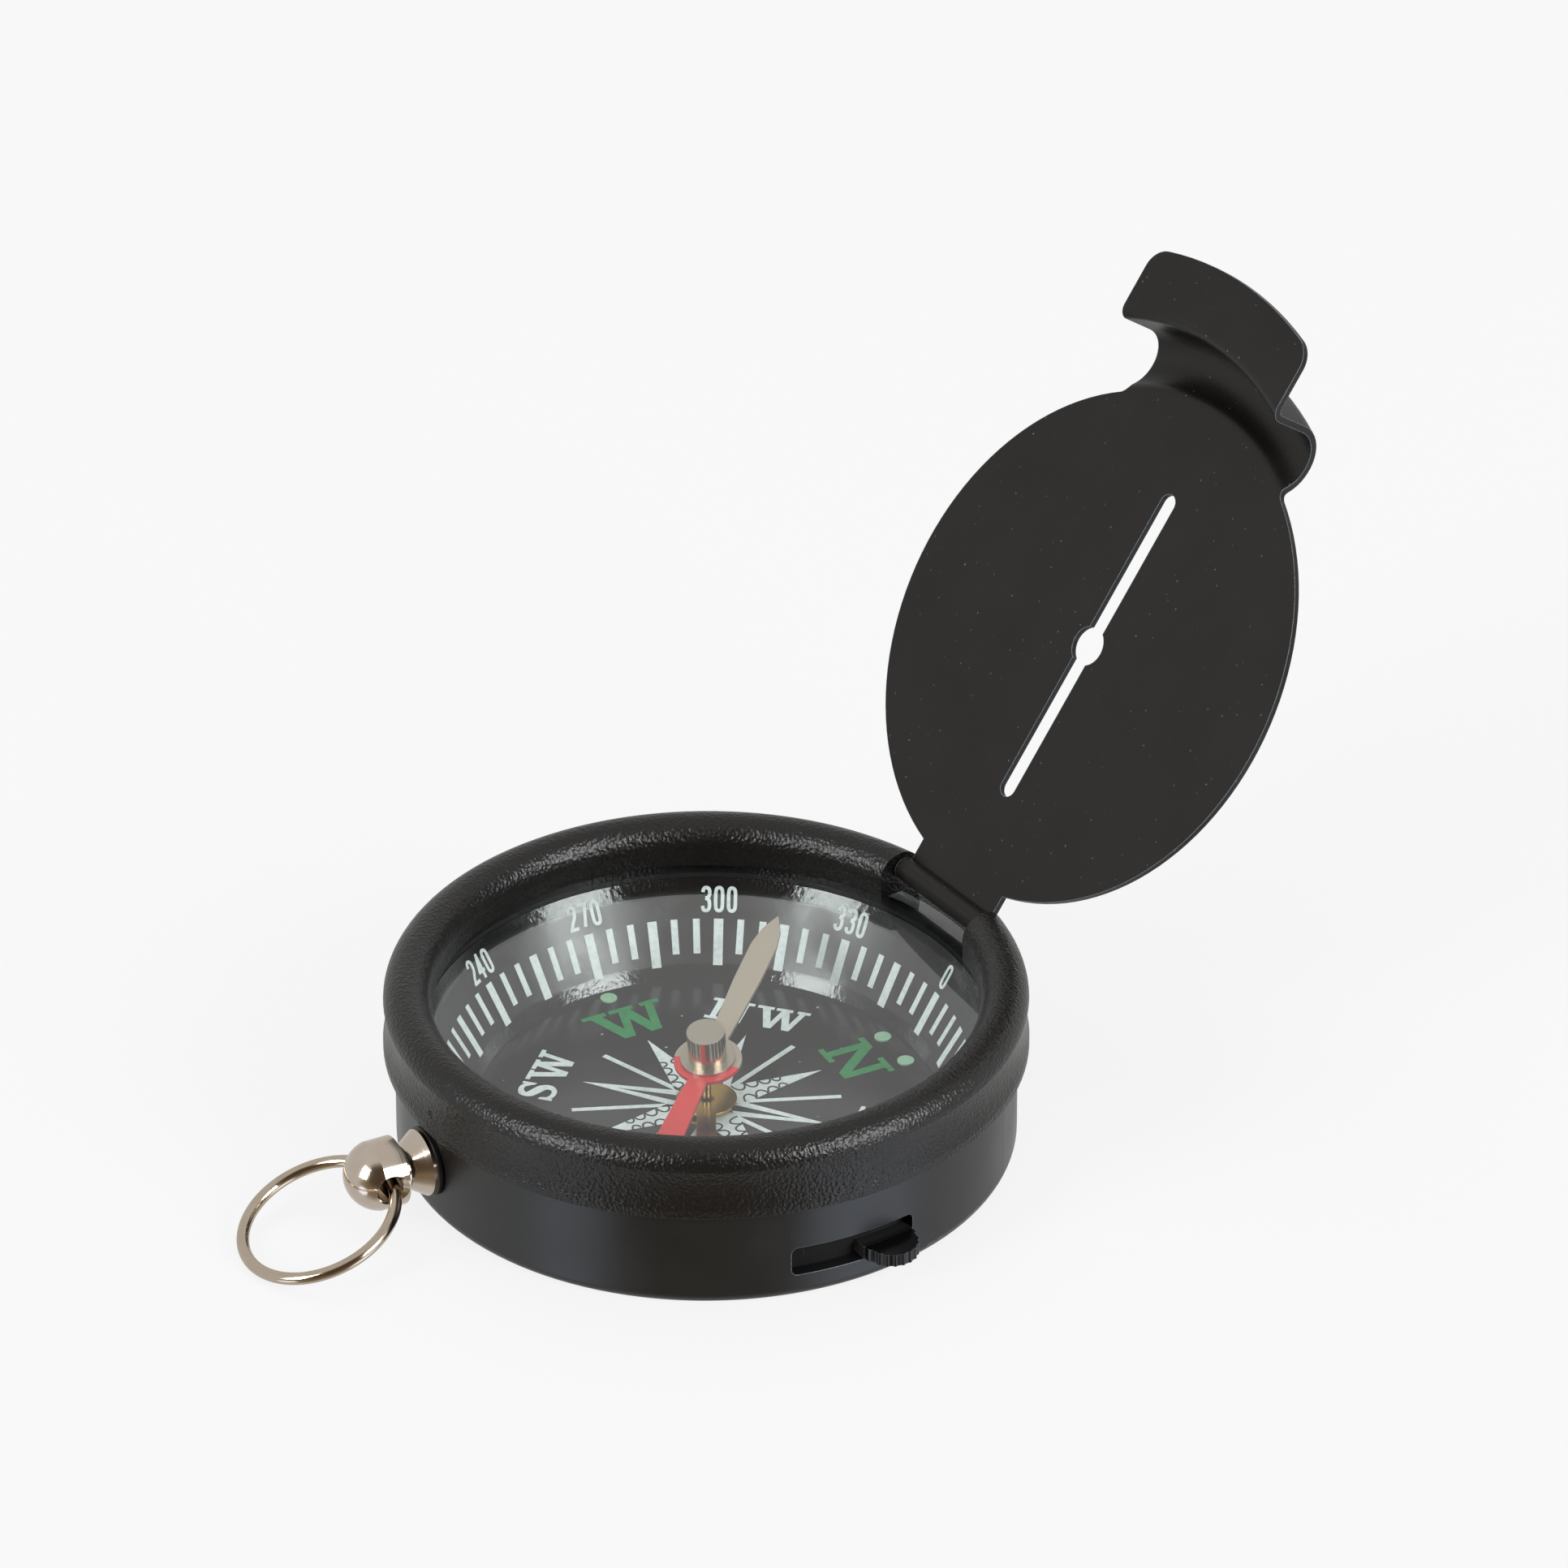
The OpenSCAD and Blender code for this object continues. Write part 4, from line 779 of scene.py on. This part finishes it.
# %% Rose
ROSE_R = 10.1
SPIKE_HALF, SPIKE_Y = 1.3, 2.9  # half a broad spike's width, and how far out it is broadest
SCALLOPS = (0.52, 0.50, 0.44, 0.34)  # half the length of each arc along the ray, from the middle outwards
SCALLOP_DEPTH = 0.72  # of half the ray's width
SCALLOP_PITCH = 2.12  # of its half length, so that neighbours nearly touch
ARC_STEPS = 10
bow = [(math.sin(math.pi * k / ARC_STEPS), math.cos(math.pi * k / ARC_STEPS)) for k in range(ARC_STEPS + 1)]
rays_of_rose, scallops = [], []
for bearing in (0, 90, 180, 270):
    rays_of_rose.append((patch([(0, ROSE_R), (-SPIKE_HALF, SPIKE_Y), (0, 0.6), (SPIKE_HALF, SPIKE_Y)]),
                         on_dial(bearing)))
    y = 3.3  # the middle of the first scallop
    for size in SCALLOPS:
        half = SPIKE_HALF * (ROSE_R - y) / (ROSE_R - SPIKE_Y)
        for side in (-1, 1):
            # The arc starts 0.03 mm off the ray, so that its ends leave no white line.
            arc = [(side * (half + 0.03 - SCALLOP_DEPTH * half * s), y + size * c) for s, c in bow]
            scallops.append((pen(arc, width=0.15), on_dial(bearing)))
        y += SCALLOP_PITCH * size
SPLIT_HALF, SPLIT_Y, SLIT_TOP = 1.05, 2.6, 7.4  # a split spike's corner, and the end of its slit
for bearing in (45, 135, 225, 315):
    for side in (-1, 1):
        rays_of_rose.append((patch([(0, ROSE_R), (side * SPLIT_HALF, SPLIT_Y), (side * 0.42, 2.2),
                                    (0, SLIT_TOP)]), on_dial(bearing)))
BAR_HALF, BAR_FROM, BAR_TO = 0.22, 2.2, 10.5
for k in range(8):
    rays_of_rose.append((bar(-BAR_HALF, BAR_FROM, BAR_HALF, BAR_TO), on_dial(22.5 + 45 * k)))
print_on("rose_rays", rays_of_rose, white_ink)
print_on("rose_scallops", scallops, black_ink, foot=0.03)

# %% [markdown]
# ## Floor
# The compass stands on a plain white sweep. Most of the floor's colour is given to the camera as it
# is, so that it stays even, and the rest is lit, so that it keeps the soft shadow of the case. Gloss
# looks through the floor into the lower half of the room, which is painted as the mirror image of the
# upper half. That is what a sheet of polished white acrylic, the usual base for black goods, shows.

# %% Floor
PAPER = "#f8f8f8"
REACH = 2.5  # metres each way
FLOOR_Z = -1e-5  # a hair below the base, so that the two faces don't mix
floor_mesh = bpy.data.meshes.new("paper_sweep")
floor_mesh.from_pydata([(-REACH, -REACH, FLOOR_Z), (REACH, -REACH, FLOOR_Z), (REACH, REACH, FLOOR_Z),
                        (-REACH, REACH, FLOOR_Z)], [], [(0, 1, 2, 3)])
floor = bpy.data.objects.new("paper_sweep", floor_mesh)
scene.collection.objects.link(floor)
paper, tree = blank("white_paper")
rays = add(tree, "LightPath").node
seen = add(tree, "Math", {0: rays.outputs["Is Camera Ray"], 1: rays.outputs["Is Transmission Ray"]},
           operation="MAXIMUM")
share = add(tree, "Math", {0: seen, 1: 0.9}, operation="MULTIPLY")
lit = add(tree, "BsdfDiffuse", {"Color": tint("#cccccc")})
plain = add(tree, "Emission", {"Color": tint(PAPER), "Strength": 1.0})
sheet = add(tree, "MixShader", {0: share, 1: lit, 2: plain})
open_floor = add(tree, "BsdfTransparent", {"Color": tint("#ffffff")})
both_floors = add(tree, "MixShader", {0: rays.outputs["Is Glossy Ray"], 1: sheet, 2: open_floor})
add(tree, "OutputMaterial", {"Surface": both_floors})
floor_mesh.materials.append(paper)
print("floor", 2 * REACH, "m each way,", PAPER, "to the camera")

# %% [markdown]
# ## The room
# A room lights glossy black things by what they mirror. Read off the case's wall, the room is pale
# grey all round, dim brown on the camera's side, and holds two bluish softboxes left and right. Their
# mirror images below the horizon light the upright wall. The camera itself sees white paper in every
# direction, and rough surfaces get a plain even fill.

# %% World
room = bpy.data.worlds.new("studio_room")
scene.world = room
room.use_nodes = True
tree = room.node_tree
tree.nodes.clear()
rays = add(tree, "LightPath").node
heading = add(tree, "TexCoord", out="Generated")
camera_side = math.degrees(math.atan2(back.y, back.x))


def direction(azimuth, elevation):
    """The unit vector at an azimuth from the camera's side and an elevation, in degrees."""
    a, e = math.radians(camera_side + azimuth), math.radians(elevation)
    return Vector((math.cos(a) * math.cos(e), math.sin(a) * math.cos(e), math.sin(e)))


def glow(centre, near_deg, far_deg):
    """A soft round patch of the room: 1 within near_deg of a direction, 0 beyond far_deg."""
    towards = add(tree, "VectorMath", {0: heading, 1: centre}, out="Value", operation="DOT_PRODUCT")
    far, near = math.cos(math.radians(far_deg)), math.cos(math.radians(near_deg))
    return add(tree, "MapRange", {"Value": towards, "From Min": far, "From Max": near},
               interpolation_type="SMOOTHSTEP")


dim_front = glow(direction(0, 0), near_deg=38, far_deg=72)
dark_lens = glow(direction(0, 25), near_deg=18, far_deg=50)
sky = add(tree, "Mix", {0: dim_front, 6: tint("#dcdcdb"), 7: tint("#8f816b")}, out=2, data_type="RGBA")
sky = add(tree, "Mix", {0: dark_lens, 6: sky, 7: tint("#5a4c3d")}, out=2, data_type="RGBA")
left_image = glow(direction(-51, -28), near_deg=9, far_deg=15)
right_image = glow(direction(58, -28), near_deg=13, far_deg=22)
images = add(tree, "Math", {0: left_image, 1: right_image}, operation="MAXIMUM")
IMAGE_GLOW = 2.1  # how much brighter than white paper the softboxes' mirror images are
bluish = [c * IMAGE_GLOW for c in tint("#e6f0ff")[:3]] + [1.0]
sky = add(tree, "Mix", {0: images, 6: sky, 7: bluish}, out=2, data_type="RGBA")
fill = add(tree, "Background", {"Color": tint("#f4f5f6"), "Strength": 0.5})
sight = add(tree, "Background", {"Color": sky, "Strength": 1.0})
white = add(tree, "Background", {"Color": tint(PAPER), "Strength": 1.0})
mirrored = add(tree, "Math", {0: rays.outputs["Is Glossy Ray"], 1: rays.outputs["Is Transmission Ray"]},
               operation="MAXIMUM")
unseen = add(tree, "MixShader", {0: mirrored, 1: fill, 2: sight})
whole = add(tree, "MixShader", {0: rays.outputs["Is Camera Ray"], 1: unseen, 2: white})
add(tree, "OutputWorld", {"Surface": whole})
print("room:", len(tree.nodes), "nodes, the camera's side at", round(camera_side, 1), "degrees")

# %% [markdown]
# ## The lamps
# Two tall softboxes stand left and right of the camera. Their places follow from the bright patches
# in the degree ring's gloss and along the rolled rim: each mirrors one lamp, about 52 degrees to the
# side and 26 degrees up. A wide soft one hangs above and reaches the dial inside its deep rim. They
# stand further off than the camera, so that no other view has one in front of it.

# %% Softboxes
def softbox(name, azimuth, elevation, distance, width, tall, radiance):
    """A rectangular lamp aimed at the case, its power worked out from its area and how bright it looks."""
    lamp = bpy.data.lights.new(name, "AREA")
    lamp.shape = "RECTANGLE"
    lamp.size, lamp.size_y = width, tall
    lamp.energy = radiance * math.pi * width * tall
    lamp.color = (0.97, 0.985, 1.0)
    stand = bpy.data.objects.new(name, lamp)
    to_lamp = direction(azimuth, elevation)
    stand.location = aim_point + distance * to_lamp
    stand.rotation_euler = to_lamp.to_track_quat("Z", "Y").to_euler()
    stand.visible_camera = False
    scene.collection.objects.link(stand)
    print(name, round(lamp.energy, 1), "W")
    return stand


side_lamp = {"elevation": 26, "distance": 1.4, "tall": 0.8, "radiance": 12}
sides = [softbox("softbox_right", azimuth=54, width=0.66, **side_lamp),
         softbox("softbox_left", azimuth=-52, width=0.56, **side_lamp)]
overhead = softbox("overhead_box", azimuth=180, elevation=72, distance=1.5, width=1.4, tall=1.4, radiance=2.2)
overhead.visible_glossy = False

# %% [markdown]
# ## A filter for the glass
# From some sides the flat glass would show a softbox as one white sheet and hide the dial. A
# photographer turns a polarising filter until it is gone. Moving the lamps would take their light off
# the rim as well, so light linking keeps only these two out of the glass.

# %% Light linking
unlit = bpy.data.collections.new("glass_without_glare")
unlit.objects.link(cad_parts["glass"])
unlit.collection_objects[0].light_linking.link_state = "EXCLUDE"
for stand in sides:
    stand.light_linking.receiver_collection = unlit
print("glass without", ", ".join(stand.name for stand in sides))

# %% [markdown]
# ## Finish
# The Standard view shows a colour as it was written, where a filmic one would grey the paper and the
# print.

# %% Finish
scene.view_settings.view_transform = "Standard"
